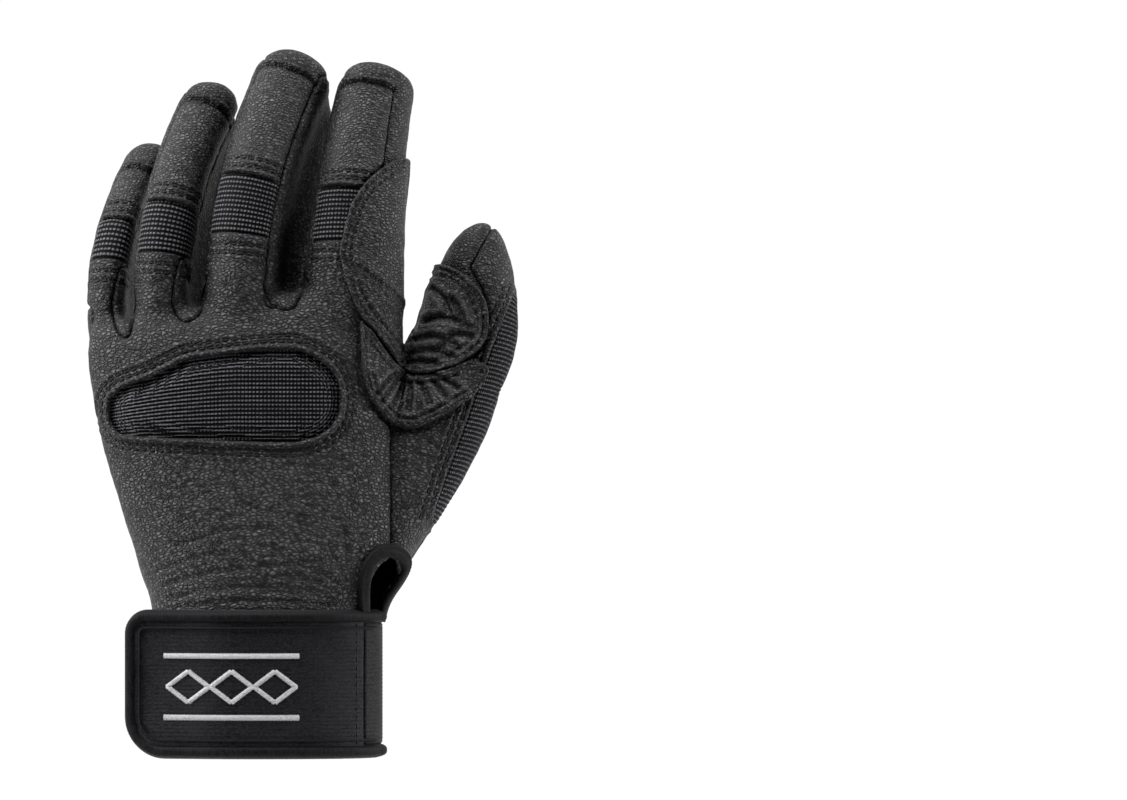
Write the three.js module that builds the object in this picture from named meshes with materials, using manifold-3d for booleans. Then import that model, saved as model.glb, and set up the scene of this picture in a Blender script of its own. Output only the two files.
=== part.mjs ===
// A full-finger leather glove for rope work, the left hand's, in the form that a hand gives it.
// Millimetres. The back of the hand faces -Y, the thumb lies to +X and the fingers point to +Z.
// The origin is the middle of the open cuff, level with the lower edge of the strap.

import * as THREE from 'three';
import { mergeVertices } from 'three/addons/utils/BufferGeometryUtils.js';
import Module from 'manifold-3d';

const wasm = await Module();
wasm.setup();

// Walls and clearances
const LEATHER_WALL = 1.4;
const PATCH_WALL = 1.2;
const GAP = 0.3;
const TIP_WALL_SHARE = 0.6;

// Palm and cuff, as a hand fills them
const CUFF_WIDTH = 74;
const CUFF_DEPTH = 52;
const HAND_WIDTH = 105;
const HAND_DEPTH = 44;
const CROTCH_HEIGHT = 150;

// Strap
const STRAP_HEIGHT = 49.5;
const TAB_OVERHANG = 44;
const TAB_WALL = 2.4;
const TAB_TOP_CORNER = 8;
const TAB_LOW_CORNER = 14;
const BINDING_WIDTH = 5;
const BINDING_WALL = 3.4;
const ELASTIC_WALL = 1.8;
const WEB_OUT = 34;
const WEB_END = -3;
const STRAP_RIGHT_DEGREES = 84;
const STRAP_LEFT_DEGREES = -26;
const STRAP_STEPS = 9;

// Fingers: the length is the rise from the crotch height to the tip
const INDEX_LENGTH = 80;
const MIDDLE_LENGTH = 83;
const RING_LENGTH = 72.5;
const LITTLE_LENGTH = 52;
const TIP_ROUNDING = 7;
const FOLD_STAND = 1.1;
const FOLD_WIDTH = 3.2;
const FOLD_LIP = 0.4;
const FINGER_SQUARE = 2.2;
const LEAN_SPAN = 100;
const ROOT_SUNK = 26;
const FOOT_SPAN = 90;
const TAB_RISE = 6;
const STRIP_SHARE = 0.72;
const STRIP_TURN_DEGREES = 25;
const SIDE_FROM = 4;
const SIDE_BY = 24;

// Thumb
const THUMB_LENGTH = 110;
const THUMB_WIDTH = 32;
const THUMB_DEPTH = 30;
const THUMB_SQUARE = 2.15;

// Knuckle window, clip hole and the seams round the thumb
const WINDOW_LENGTH = 76.6;
const WINDOW_HEIGHT = 30.7;
const WINDOW_UP = 105;
const WINDOW_SHIFT = 0.643;
const HOLE_INSET = 6.2;
const HOLE_DEEP = -2;
const HOLE_WIDTH = 18.4;
const HOLE_RISE = 22.5;
const HOLE_BINDING = 2.9;
const HOLE_BINDING_STAND = 1.1;
const SIDE_SEAM_OUT = 44.5;
const PARTING_DEPTH = 2;
const STRETCH_WRAP = 8;
const PATCH_WRAP = 8;
const RING_DROP = 10;

// Facets
const PALM_SIDES = 20;
const FINGER_SIDES = 12;
const THUMB_SIDES = 12;
const WINDOW_STEPS = 20;
const FAR = 200;

// Cutters: how far one runs past an end, a wedge reaches out of a finger and a zone clears it
const END_RUN = 5;
const WEDGE_REACH = 32;
const ZONE_AIR = 0.5;

// Sections of the cuff: up in strap heights, widths in cuff widths, depths in cuff depths
const CUFF_ROWS = [
  { up: 0.0, left: 0.47, right: 0.53, back: 0.5, front: 0.5, square: 2.3 },
  { up: 1.01, left: 0.47, right: 0.53, back: 0.5, front: 0.5, square: 2.3 },
];

// Sections of the palm: up from strap to crotch, widths in hand widths, depths in hand depths
const PALM_ROWS = [
  { up: 0.1, left: 0.37, right: 0.458, back: 0.57, front: 0.59, square: 2.3, slant: 0 },
  { up: 0.2, left: 0.398, right: 0.492, back: 0.56, front: 0.614, square: 2.3, slant: 0 },
  { up: 0.36, left: 0.448, right: 0.48, back: 0.534, front: 0.625, square: 2.3, slant: 0 },
  { up: 0.52, left: 0.492, right: 0.462, back: 0.5, front: 0.6, square: 2.4, slant: 0 },
  { up: 0.69, left: 0.527, right: 0.45, back: 0.455, front: 0.534, square: 2.5, slant: 0 },
  { up: 0.84, left: 0.541, right: 0.448, back: 0.4, front: 0.44, square: 2.6, slant: 0.06 },
  { up: 0.97, left: 0.546, right: 0.443, back: 0.33, front: 0.352, square: 2.8, slant: 0.13 },
  { up: 1.025, left: 0.53, right: 0.425, back: 0.2, front: 0.22, square: 2.8, slant: 0.15 },
];

// Fingers: places and widths in hand widths, depths in hand depths, lean and curl at LEAN_SPAN.
// The back piece runs from base over fold to cap, in shares of the length, between two seams.
const FINGERS = [
  {
    name: 'little', length: LITTLE_LENGTH, across: -0.467, deep: 0.2,
    lean: 0.53, curl: 2.6, leftRoot: 0.086, leftTip: 0.092, rightRoot: 0.045, rightTip: 0.03,
    halfRoot: 0.25, halfTip: 0.22, base: 0.26, fold: 0.47, cap: 0.77, seamLeft: -75, seamRight: 40,
  },
  {
    name: 'ring', length: RING_LENGTH, across: -0.309, deep: 0.03,
    lean: 0.35, curl: 1.25, leftRoot: 0.089, leftTip: 0.107, rightRoot: 0.089, rightTip: 0.08,
    halfRoot: 0.28, halfTip: 0.25, base: 0.22, fold: 0.43, cap: 0.86, seamLeft: -75, seamRight: 40,
  },
  {
    name: 'middle', length: MIDDLE_LENGTH, across: -0.054, deep: -0.04,
    lean: 0.28, curl: 0.95, leftRoot: 0.12, leftTip: 0.127, rightRoot: 0.12, rightTip: 0.124,
    halfRoot: 0.29, halfTip: 0.26, base: 0.265, fold: 0.48, cap: 0.885, seamLeft: -78, seamRight: 40,
  },
  {
    name: 'index', length: INDEX_LENGTH, across: 0.291, deep: -0.02,
    lean: 0.115, curl: 0.9, leftRoot: 0.154, leftTip: 0.105, rightRoot: 0.16, rightTip: 0.138,
    halfRoot: 0.3, halfTip: 0.26, base: 0.25, fold: 0.455, cap: 0.87, seamLeft: -75, seamRight: 38,
  },
];

// Taper of a finger towards its tip: left in tip roundings, wide and thick in its own sizes
const TIP_ROWS = [{ left: 1.0 }, { left: 0.45 }, { left: 0.1 }];

// Sections of the thumb: over in hand widths, deep and wide in thumb widths, thick in thumb
// depths, up in thumb lengths from the strap up
const THUMB_ROWS = [
  { over: 0.3535, deep: 0.12, up: 0.17, left: 0.44, right: 0.4, back: 0.62, front: 0.66 },
  { over: 0.4389, deep: 0.15, up: 0.315, left: 0.55, right: 0.45, back: 0.62, front: 0.66 },
  { over: 0.515, deep: 0.18, up: 0.46, left: 0.62, right: 0.5, back: 0.6, front: 0.63 },
  { over: 0.576, deep: 0.22, up: 0.587, left: 0.62, right: 0.515, back: 0.56, front: 0.58 },
  { over: 0.6248, deep: 0.25, up: 0.705, left: 0.6, right: 0.49, back: 0.52, front: 0.54 },
  { over: 0.6613, deep: 0.28, up: 0.805, left: 0.52, right: 0.51, back: 0.49, front: 0.5 },
  { over: 0.675, deep: 0.3, up: 0.886, left: 0.5, right: 0.5, back: 0.48, front: 0.48 },
  { over: 0.6888, deep: 0.28, up: 1.024, left: 0.395, right: 0.4, back: 0.42, front: 0.42 },
  { over: 0.701, deep: 0.27, up: 1.083, left: 0.32, right: 0.33, back: 0.37, front: 0.37 },
  { over: 0.7162, deep: 0.26, up: 1.13, left: 0.23, right: 0.23, back: 0.28, front: 0.28 },
  { over: 0.7284, deep: 0.25, up: 1.16, left: 0.12, right: 0.12, back: 0.16, front: 0.16 },
];
const THUMB_TIP = { over: 0.7345, deep: 0.25, up: 1.17 };

// Knuckle window, anticlockwise from its lower left end, in shares of its length and height
const WINDOW_POINTS = [
  { along: 0.0, up: 0.3 }, { along: 0.03, up: 0.12 }, { along: 0.1, up: 0.06 },
  { along: 0.4, up: 0.03 }, { along: 0.75, up: 0.0 }, { along: 0.9, up: 0.07 },
  { along: 0.98, up: 0.25 }, { along: 1.0, up: 0.48 }, { along: 0.94, up: 0.78 },
  { along: 0.84, up: 0.96 }, { along: 0.7, up: 1.0 }, { along: 0.4, up: 0.93 },
  { along: 0.26, up: 0.8 }, { along: 0.12, up: 0.66 }, { along: 0.02, up: 0.52 },
];

// Strips between fingers: the foot of each U in hand widths across and crotch heights up
const STRIPS = [
  { name: 'strip_little_ring', left: 0, right: 1, across: -0.43, half: 0.034, foot: -0.067 },
  { name: 'strip_ring_middle', left: 1, right: 2, across: -0.22, half: 0.046, foot: -0.029 },
  { name: 'strip_middle_index', left: 2, right: 3, across: 0.08, half: 0.058, foot: -0.005 },
];

// Seen from the back: points across in hand widths, up in crotch heights
const INDEX_PATCH_POINTS = [
  { across: 0.447, up: 0.86 }, { across: 0.39, up: 0.925 }, { across: 0.308, up: 1.005 },
  { across: 0.274, up: 1.071 }, { across: 0.262, up: 1.115 }, { across: 0.27, up: 1.15 },
  { across: 0.289, up: 1.211 }, { across: 0.305, up: 1.238 }, { across: 0.34, up: 1.275 },
  { across: 0.4, up: 1.313 }, { across: 0.448, up: 1.331 }, { across: 0.52, up: 1.327 },
  { across: 0.5, up: 1.1 }, { across: 0.49, up: 1.0 }, { across: 0.465, up: 0.933 },
];
const WEB_PATCH_POINTS = [
  { across: 0.44, up: 0.853 }, { across: 0.382, up: 0.919 }, { across: 0.325, up: 0.972 },
  { across: 0.324, up: 0.92 }, { across: 0.33, up: 0.842 }, { across: 0.346, up: 0.805 },
  { across: 0.371, up: 0.775 }, { across: 0.403, up: 0.749 }, { across: 0.438, up: 0.733 },
  { across: 0.473, up: 0.729 }, { across: 0.511, up: 0.731 }, { across: 0.574, up: 0.753 },
  { across: 0.632, up: 0.782 }, { across: 0.66, up: 0.87 }, { across: 0.607, up: 0.858 },
  { across: 0.511, up: 0.843 }, { across: 0.462, up: 0.848 },
];
const THUMB_PATCH_POINTS = [
  { across: 0.452, up: 0.862 }, { across: 0.511, up: 0.853 }, { across: 0.607, up: 0.87 },
  { across: 0.672, up: 0.897 }, { across: 0.708, up: 0.915 }, { across: 0.724, up: 0.945 },
  { across: 0.727, up: 0.975 }, { across: 0.721, up: 1.005 }, { across: 0.705, up: 1.031 },
  { across: 0.679, up: 1.055 }, { across: 0.648, up: 1.075 }, { across: 0.612, up: 1.089 },
  { across: 0.574, up: 1.093 }, { across: 0.53, up: 1.088 }, { across: 0.505, up: 1.05 },
  { across: 0.495, up: 1.0 }, { across: 0.47, up: 0.933 },
];
const THUMB_RING_POINTS = [
  { across: 0.44, up: 0.858 }, { across: 0.478, up: 0.933 }, { across: 0.497, up: 1.0 },
  { across: 0.497, up: 1.35 },
];
const THUMB_SEAM_POINTS = [
  { across: 0.44, up: 0.858 }, { across: 0.5, up: 0.87 }, { across: 0.58, up: 0.93 },
  { across: 0.63, up: 1.0 }, { across: 0.664, up: 1.082 },
  { across: 0.708, up: 1.138 }, { across: 0.75, up: 1.18 }, { across: 0.8, up: 1.3 },
];
const STRETCH_EDGE_POINTS = [
  { across: 0.535, up: 0.475 }, { across: 0.562, up: 0.533 }, { across: 0.586, up: 0.6 },
  { across: 0.624, up: 0.676 }, { across: 0.665, up: 0.756 }, { across: 0.702, up: 0.833 },
  { across: 0.737, up: 0.9 }, { across: 0.775, up: 0.967 }, { across: 0.81, up: 1.03 },
];

// Clip hole, clockwise from its lower left end, in shares of its width and rise
const HOLE_POINTS = [
  { along: 0.0, up: -0.3 }, { along: 0.0, up: 0.42 }, { along: 0.04, up: 0.64 },
  { along: 0.15, up: 0.82 }, { along: 0.31, up: 0.94 }, { along: 0.5, up: 1.0 },
  { along: 0.67, up: 1.0 }, { along: 0.82, up: 0.94 }, { along: 0.94, up: 0.84 },
  { along: 1.0, up: 0.69 }, { along: 0.96, up: 0.49 }, { along: 0.7, up: -0.3 },
];

// Colours
const LEATHER = { color: 0x2b2b2d, roughness: 0.55 };
const STRETCH = { color: 0x1e1f22, roughness: 0.9 };
const TAPE = { color: 0x17181b, roughness: 0.85 };
const WEBBING = { color: 0x191b20, roughness: 0.9 };

const vector = (x, y, z) => new THREE.Vector3(x, y, z);
const mix = THREE.MathUtils.lerp;

// A solid from shared points and triangles, turned to face outwards
function solid(points, faces) {
  const corners = faces.map((face) => face.map((i) => points[i]));
  const volume = corners.reduce((sum, [a, b, c]) => sum + a.dot(b.clone().cross(c)), 0);
  const turned = volume < 0 ? faces.map(([a, b, c]) => [a, c, b]) : faces;
  return new wasm.Manifold(new wasm.Mesh({
    numProp: 3,
    vertProperties: new Float32Array(points.flatMap((p) => [p.x, p.y, p.z])),
    triVerts: new Uint32Array(turned.flat()),
  }));
}

// A solid through rings of equally many points, closed at each end round one point
function loft(rings, top) {
  const count = rings[0].length;
  const points = rings.flat();
  const middle = (ring) => ring.reduce((sum, p) => sum.add(p), vector(0, 0, 0))
    .divideScalar(ring.length);
  const bottomIndex = points.push(middle(rings[0])) - 1;
  const topIndex = points.push(top ?? middle(rings.at(-1))) - 1;
  const faces = [];
  for (let i = 0; i < count; i += 1) {
    const next = (i + 1) % count;
    for (let row = 0; row < rings.length - 1; row += 1) {
      const low = row * count;
      const high = low + count;
      faces.push([low + i, low + next, high + i]);
      faces.push([low + next, high + next, high + i]);
    }
    const last = (rings.length - 1) * count;
    faces.push([bottomIndex, next, i]);
    faces.push([topIndex, last + i, last + next]);
  }
  return solid(points, faces);
}

// A solid from a closed three.js geometry
function fromGeometry(geometry) {
  geometry.deleteAttribute('normal');
  geometry.deleteAttribute('uv');
  const merged = mergeVertices(geometry);
  const place = merged.getAttribute('position');
  const points = [...Array(place.count).keys()].map((i) => vector().fromBufferAttribute(place, i));
  const index = merged.getIndex().array;
  const faces = [];
  for (let i = 0; i < index.length; i += 3) faces.push([index[i], index[i + 1], index[i + 2]]);
  return solid(points, faces);
}

// A prism along Y over an outline of { x, z } points
function prism(outline, from, to) {
  const shape = new THREE.Shape(outline.map((p) => new THREE.Vector2(p.x, p.z)));
  const geometry = new THREE.ExtrudeGeometry(shape, { depth: to - from, bevelEnabled: false });
  geometry.rotateX(Math.PI / 2);
  geometry.translate(0, to, 0);
  return fromGeometry(geometry);
}

// An upright box's outline
const box = (left, right, low, high) => [
  { x: left, z: low }, { x: right, z: low }, { x: right, z: high }, { x: left, z: high },
];

// A smooth closed outline through points, in `steps` short edges
function smooth(points, steps) {
  const curve = new THREE.CatmullRomCurve3(points.map((p) => vector(p.x, 0, p.z)), true);
  return curve.getPoints(steps).slice(0, -1).map((p) => ({ x: p.x, z: p.z }));
}

// An outline moved outwards by a distance, with mitred corners
function grown(outline, by) {
  const corners = outline.map((p) => new THREE.Vector2(p.x, p.z));
  const turn = THREE.ShapeUtils.area(corners) > 0 ? 1 : -1;
  const count = corners.length;
  const normals = corners.map((p, i) => {
    const edge = corners[(i + 1) % count].clone().sub(p).normalize();
    return new THREE.Vector2(turn * edge.y, -turn * edge.x);
  });
  return corners.map((p, i) => {
    const before = normals[(i + count - 1) % count];
    const mitre = before.clone().add(normals[i]);
    const moved = mitre.multiplyScalar(by / Math.max(0.3, 1 + before.dot(normals[i]))).add(p);
    return { x: moved.x, z: moved.y };
  });
}

// Points seen from the back, told in hand widths and crotch heights
const onHand = (points) => points.map((p) => ({
  x: p.across * HAND_WIDTH, z: p.up * CROTCH_HEIGHT,
}));

// One section: a rounded box with its own reach to each side
function ring(frame, reach, square, sides, slant = 0) {
  const power = 2 / square;
  return [...Array(sides).keys()].map((i) => {
    const angle = (2 * Math.PI * (i + 0.5)) / sides;
    const s = Math.sin(angle);
    const c = Math.cos(angle);
    const across = Math.sign(s) * Math.abs(s) ** power * (s > 0 ? reach.right : reach.left);
    const out = Math.sign(c) * Math.abs(c) ** power * (c > 0 ? reach.back : reach.front);
    return frame.centre.clone()
      .addScaledVector(frame.right, across)
      .addScaledVector(frame.back, out)
      .add(vector(0, 0, slant * across));
  });
}

const shrunk = (reach, wall) => ({
  left: reach.left - wall, right: reach.right - wall,
  back: reach.back - wall, front: reach.front - wall,
});

// The frame of a section: `back` looks to the viewer's side, at right angles to the path
function frameAt(path, at, step = 0.5) {
  const centre = path(at);
  const along = path(at + step).sub(path(at - step)).normalize();
  const back = vector(0, -1, 0).addScaledVector(along, along.y).normalize();
  const right = along.clone().cross(back);
  return { centre, along, back, right };
}

const UPRIGHT = (z) => ({ centre: vector(0, 0, z), right: vector(1, 0, 0), back: vector(0, -1, 0) });

// The palm and cuff, moved inwards by `wall`
function palm(wall, drop) {
  const cuff = CUFF_ROWS.map((row) => ({
    z: row.up * STRAP_HEIGHT, square: row.square, slant: 0,
    left: row.left * CUFF_WIDTH, right: row.right * CUFF_WIDTH,
    back: row.back * CUFF_DEPTH, front: row.front * CUFF_DEPTH,
  }));
  const hand = PALM_ROWS.map((row) => ({
    z: mix(STRAP_HEIGHT, CROTCH_HEIGHT, row.up), square: row.square, slant: row.slant,
    left: row.left * HAND_WIDTH, right: row.right * HAND_WIDTH,
    back: row.back * HAND_DEPTH, front: row.front * HAND_DEPTH,
  }));
  const rows = [...cuff, ...hand];
  rows[0].z -= drop;
  return loft(rows.map((row, i) => {
    const lowered = i < rows.length - 2 ? 0 : Math.max(wall, 0);
    return ring(UPRIGHT(row.z - lowered), shrunk(row, wall), row.square, PALM_SIDES, row.slant);
  }));
}

const fingerPath = (finger) => (rise) => {
  const bend = Math.max(rise, 0) / LEAN_SPAN;
  return vector(
    finger.across * HAND_WIDTH + finger.lean * HAND_WIDTH * bend ** 2,
    finger.deep * HAND_DEPTH + finger.curl * HAND_DEPTH * bend ** 2,
    CROTCH_HEIGHT + rise,
  );
};

// How far a finger reaches to each side of its path at some rise above the crotch
function fingerReach(finger, rise) {
  const along = THREE.MathUtils.clamp(rise / finger.length, 0, 1);
  const half = mix(finger.halfRoot, finger.halfTip, along) * HAND_DEPTH;
  const above = rise - finger.fold * finger.length;
  const fold = above >= 0 && above < FOLD_WIDTH * 1.5
    ? FOLD_STAND * Math.min(1, 1.5 - above / FOLD_WIDTH) : 0;
  const left = finger.length - rise;
  const sunk = 1 + Math.min(rise, 0) / FOOT_SPAN;
  const round = sunk * Math.sqrt(Math.max(0, 1 - Math.max(0, 1 - left / TIP_ROUNDING) ** FINGER_SQUARE));
  return {
    left: mix(finger.leftRoot, finger.leftTip, along) * HAND_WIDTH * round,
    right: mix(finger.rightRoot, finger.rightTip, along) * HAND_WIDTH * round,
    back: half * round + fold,
    front: half * round,
  };
}

// The rises of a finger's sections; the outside has a close pair at the fold
function fingerRises(finger, foot, folded) {
  const fold = finger.fold * finger.length;
  const tip = TIP_ROWS.map((row) => finger.length - row.left * TIP_ROUNDING);
  const beads = folded ? [fold - FOLD_LIP, fold, fold + FOLD_WIDTH] : [fold];
  return [foot, 0, ...beads, mix(fold, finger.length, 0.5), ...tip];
}

function finger(one, wall, foot) {
  const path = fingerPath(one);
  const rings = fingerRises(one, foot, wall <= 0).map((rise) => {
    const reach = fingerReach(one, rise);
    const thin = Math.min(wall, reach.back * TIP_WALL_SHARE);
    return ring(frameAt(path, rise), shrunk(reach, thin), FINGER_SQUARE, FINGER_SIDES);
  });
  return loft(rings, path(one.length - wall));
}

const thumbPlace = (row) => vector(
  row.over * HAND_WIDTH, row.deep * THUMB_WIDTH, STRAP_HEIGHT + row.up * THUMB_LENGTH,
);

function thumb(wall) {
  const path = new THREE.CatmullRomCurve3([...THUMB_ROWS, THUMB_TIP].map(thumbPlace));
  const at = (share) => path.getPoint(THREE.MathUtils.clamp(share, 0, 1));
  const count = THUMB_ROWS.length;
  const rings = THUMB_ROWS.map((row, i) => {
    const reach = {
      left: row.left * THUMB_WIDTH, right: row.right * THUMB_WIDTH,
      back: row.back * THUMB_DEPTH, front: row.front * THUMB_DEPTH,
    };
    const thin = Math.min(wall, reach.right * TIP_WALL_SHARE);
    return ring(frameAt(at, i / count, 0.02), shrunk(reach, thin), THUMB_SQUARE, THUMB_SIDES);
  });
  return loft(rings, at(1).sub(vector(0, 0, wall)));
}

const join = (parts) => parts.reduce((sum, part) => sum.add(part));

// The whole hand, moved inwards by `wall`, or outwards where that is negative
const hand = (wall, drop = 0) => join([
  palm(wall, drop), ...FINGERS.map((one) => finger(one, wall, -ROOT_SUNK)), thumb(wall),
]);

// The wedge of a finger between two angles round its path, from one rise to another
function wedge(one, from, to, fromAngle, toAngle) {
  const path = fingerPath(one);
  const steps = 3;
  const rings = [...Array(steps + 1).keys()].map((i) => {
    const frame = frameAt(path, mix(from, to, i / steps));
    const spread = [...Array(4).keys()].map((k) => {
      const angle = THREE.MathUtils.degToRad(mix(fromAngle, toAngle, k / 3));
      return frame.centre.clone()
        .addScaledVector(frame.right, WEDGE_REACH * Math.sin(angle))
        .addScaledVector(frame.back, WEDGE_REACH * Math.cos(angle));
    });
    return [frame.centre, ...spread];
  });
  return loft(rings);
}

// All of one finger above a rise, and a little air round it
function fingerZone(one, from) {
  const path = fingerPath(one);
  const rises = fingerRises(one, from, true).filter((rise) => rise >= from);
  const rings = rises.map((rise) => {
    const reach = shrunk(fingerReach(one, rise), -ZONE_AIR);
    return ring(frameAt(path, rise), reach, FINGER_SQUARE, FINGER_SIDES);
  });
  return loft(rings, path(one.length + ZONE_AIR * 4));
}

let rest = hand(0).subtract(hand(LEATHER_WALL, END_RUN));

// Takes a piece out of what is left of the hand, and a gap round it
function take(cutter, wider) {
  const piece = rest.intersect(cutter);
  rest = rest.subtract(wider);
  return piece;
}

const takePrism = (outline, from, to) => take(
  prism(outline, from, to), prism(grown(outline, GAP), from - GAP, to + GAP),
);

const meshes = [];
function addPiece(name, piece, finish) {
  const [main] = piece.decompose().sort((a, b) => b.volume() - a.volume());
  const mesh = main.getMesh();
  const geometry = new THREE.BufferGeometry();
  geometry.setAttribute('position', new THREE.BufferAttribute(mesh.vertProperties, 3));
  geometry.setIndex(new THREE.BufferAttribute(mesh.triVerts, 1));
  const made = new THREE.Mesh(geometry, new THREE.MeshStandardMaterial({ metalness: 0, ...finish }));
  made.name = name;
  meshes.push(made);
}

// The clip hole, and the tape that wraps its edge on both sides of the leather
const holeLeft = CUFF_ROWS[0].right * CUFF_WIDTH - HOLE_INSET;
const holeOutline = HOLE_POINTS.map((p) => ({
  x: holeLeft + p.along * HOLE_WIDTH, z: STRAP_HEIGHT + p.up * HOLE_RISE,
}));
const tape = palm(-HOLE_BINDING_STAND, 0).subtract(palm(LEATHER_WALL + HOLE_BINDING_STAND, END_RUN));
rest = rest.subtract(prism(grown(holeOutline, GAP), -FAR, HOLE_DEEP + GAP));
addPiece('notch_binding', tape.intersect(prism(holeOutline, -FAR, HOLE_DEEP))
  .subtract(prism(grown(holeOutline, -HOLE_BINDING), -FAR, FAR))
  .intersect(prism(box(-FAR, FAR, STRAP_HEIGHT + GAP, FAR), -FAR, FAR)), TAPE);

// The backs of the fingers: stretch cloth under the fold, leather over it
const air = THREE.MathUtils.radToDeg(GAP / (FINGERS[0].halfRoot * HAND_DEPTH));
function fingerBack(one, low, high, more) {
  const wide = air * (more / GAP);
  return wedge(one, low - more, high + more, one.seamLeft - wide, one.seamRight + wide)
    .intersect(fingerZone(one, low - more));
}
for (const one of FINGERS) {
  const [base, fold, cap] = [one.base, one.fold, one.cap].map((share) => share * one.length);
  const cloth = (more) => fingerBack(one, base, fold - GAP, more);
  const leather = (more) => fingerBack(one, fold, cap, more);
  addPiece(`finger_stretch_${one.name}`, take(cloth(0), cloth(GAP)), STRETCH);
  addPiece(`finger_back_${one.name}`, take(leather(0), leather(GAP)), LEATHER);
}

// The tab of the back panel at the root of each finger
const tab = (one, from, more, beyond = 0) => wedge(
  one, from, one.base * one.length, one.seamLeft - more, one.seamRight + more + beyond,
);
const tabs = (more) => join(FINGERS.map((one) => tab(one, TAB_RISE, more)));

// The x of a finger's side at some rise, `share` of the way out, seen from the back
function sideAcross(one, rise, share) {
  const low = Math.min(rise, one.length - TIP_ROUNDING);
  const reach = fingerReach(one, low);
  const { centre, right } = frameAt(fingerPath(one), low);
  return centre.x + right.x * share * (share > 0 ? reach.right : reach.left);
}

// A strip's outline: round the foot, up beside one finger and down beside the other
function stripOutline(strip) {
  const left = FINGERS[strip.left];
  const right = FINGERS[strip.right];
  const half = strip.half * HAND_WIDTH;
  const middle = strip.across * HAND_WIDTH;
  const foot = strip.foot * CROTCH_HEIGHT;
  const top = Math.max(left.length, right.length) + TIP_ROUNDING;
  const rises = [...Array(5).keys()].map((i) => mix(foot + half, top, i / 4));
  const side = (one, share, out) => rises.map((rise) => ({
    x: mix(middle + out, sideAcross(one, rise, share), THREE.MathUtils.smoothstep(rise, SIDE_FROM, SIDE_BY)),
    z: CROTCH_HEIGHT + rise,
  }));
  const round = [...Array(3).keys()].map((i) => {
    const angle = Math.PI * (1 + (i + 1) / 4);
    return {
      x: middle + half * Math.cos(angle),
      z: CROTCH_HEIGHT + foot + half * (1 + Math.sin(angle)),
    };
  });
  const lap = half + LEATHER_WALL + GAP;
  return [...round, ...side(right, -STRIP_SHARE, lap), ...side(left, STRIP_SHARE, -half).reverse()];
}
for (const strip of STRIPS) {
  const outline = stripOutline(strip);
  const cutter = prism(outline, -FAR, FAR).subtract(tabs(air));
  const wider = prism(grown(outline, GAP), -FAR, FAR).subtract(tabs(0));
  addPiece(strip.name, take(cutter, wider), LEATHER);
}

for (const one of FINGERS) {
  const beyond = one.name === 'index' ? 0 : STRIP_TURN_DEGREES;
  const cutter = fingerZone(one, 0).subtract(tab(one, -ROOT_SUNK, air, beyond));
  const wider = fingerZone(one, -GAP).subtract(tab(one, -ROOT_SUNK, 0, beyond));
  addPiece(`finger_front_${one.name}`, take(cutter, wider), LEATHER);
}

// The thumb: the part above a line from its crotch, and the side below it as far as the side seam
const THUMB_RING = onHand(THUMB_RING_POINTS);
const THUMB_SEAM = onHand(THUMB_SEAM_POINTS);
const STRETCH_EDGE = onHand(STRETCH_EDGE_POINTS);
const stretchTop = STRETCH_EDGE.at(-1).z;
const stretchOutline = [
  ...STRETCH_EDGE, { x: FAR, z: stretchTop }, { x: FAR, z: STRETCH_EDGE[0].z },
];
addPiece('thumb_stretch', takePrism(stretchOutline, -FAR, STRETCH_WRAP), STRETCH);
const slot = THUMB_RING.slice(1);
addPiece('thumb_front', takePrism([...THUMB_SEAM, ...slot.slice().reverse()], -FAR, FAR), LEATHER);
const thumbTop = [...THUMB_RING, { x: FAR, z: FAR }, { x: FAR, z: THUMB_RING[0].z - RING_DROP }];
const sideTop = box(SIDE_SEAM_OUT, FAR, 0, THUMB_RING[0].z);
const side = (more) => prism(grown(thumbTop, more), -FAR, FAR)
  .add(prism(grown(sideTop, more), -FAR, PARTING_DEPTH + more));
addPiece('thumb_panel', take(side(0), side(GAP)), LEATHER);

// The hand's window, palm and back
const windowOutline = smooth(WINDOW_POINTS.map((p) => ({
  x: (p.along - WINDOW_SHIFT) * WINDOW_LENGTH, z: WINDOW_UP + p.up * WINDOW_HEIGHT,
})), WINDOW_STEPS);
addPiece('knuckle_stretch', takePrism(windowOutline, -FAR, 0), STRETCH);
const palmSide = box(-FAR, FAR, -FAR, CROTCH_HEIGHT - GAP);
addPiece('palm_panel', takePrism(palmSide, PARTING_DEPTH, FAR), LEATHER);
addPiece('back_panel', rest, LEATHER);

// The second leather layers, a gap above the first
const cover = hand(-GAP - PATCH_WALL).subtract(hand(-GAP));
const patch = (points, deep) => cover.intersect(prism(onHand(points), -FAR, deep));
addPiece('index_patch', patch(INDEX_PATCH_POINTS, PATCH_WRAP), LEATHER);
addPiece('web_patch', patch(WEB_PATCH_POINTS, PATCH_WRAP), LEATHER);
addPiece('thumb_patch', patch(THUMB_PATCH_POINTS, PATCH_WRAP + PARTING_DEPTH), LEATHER);

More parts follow.
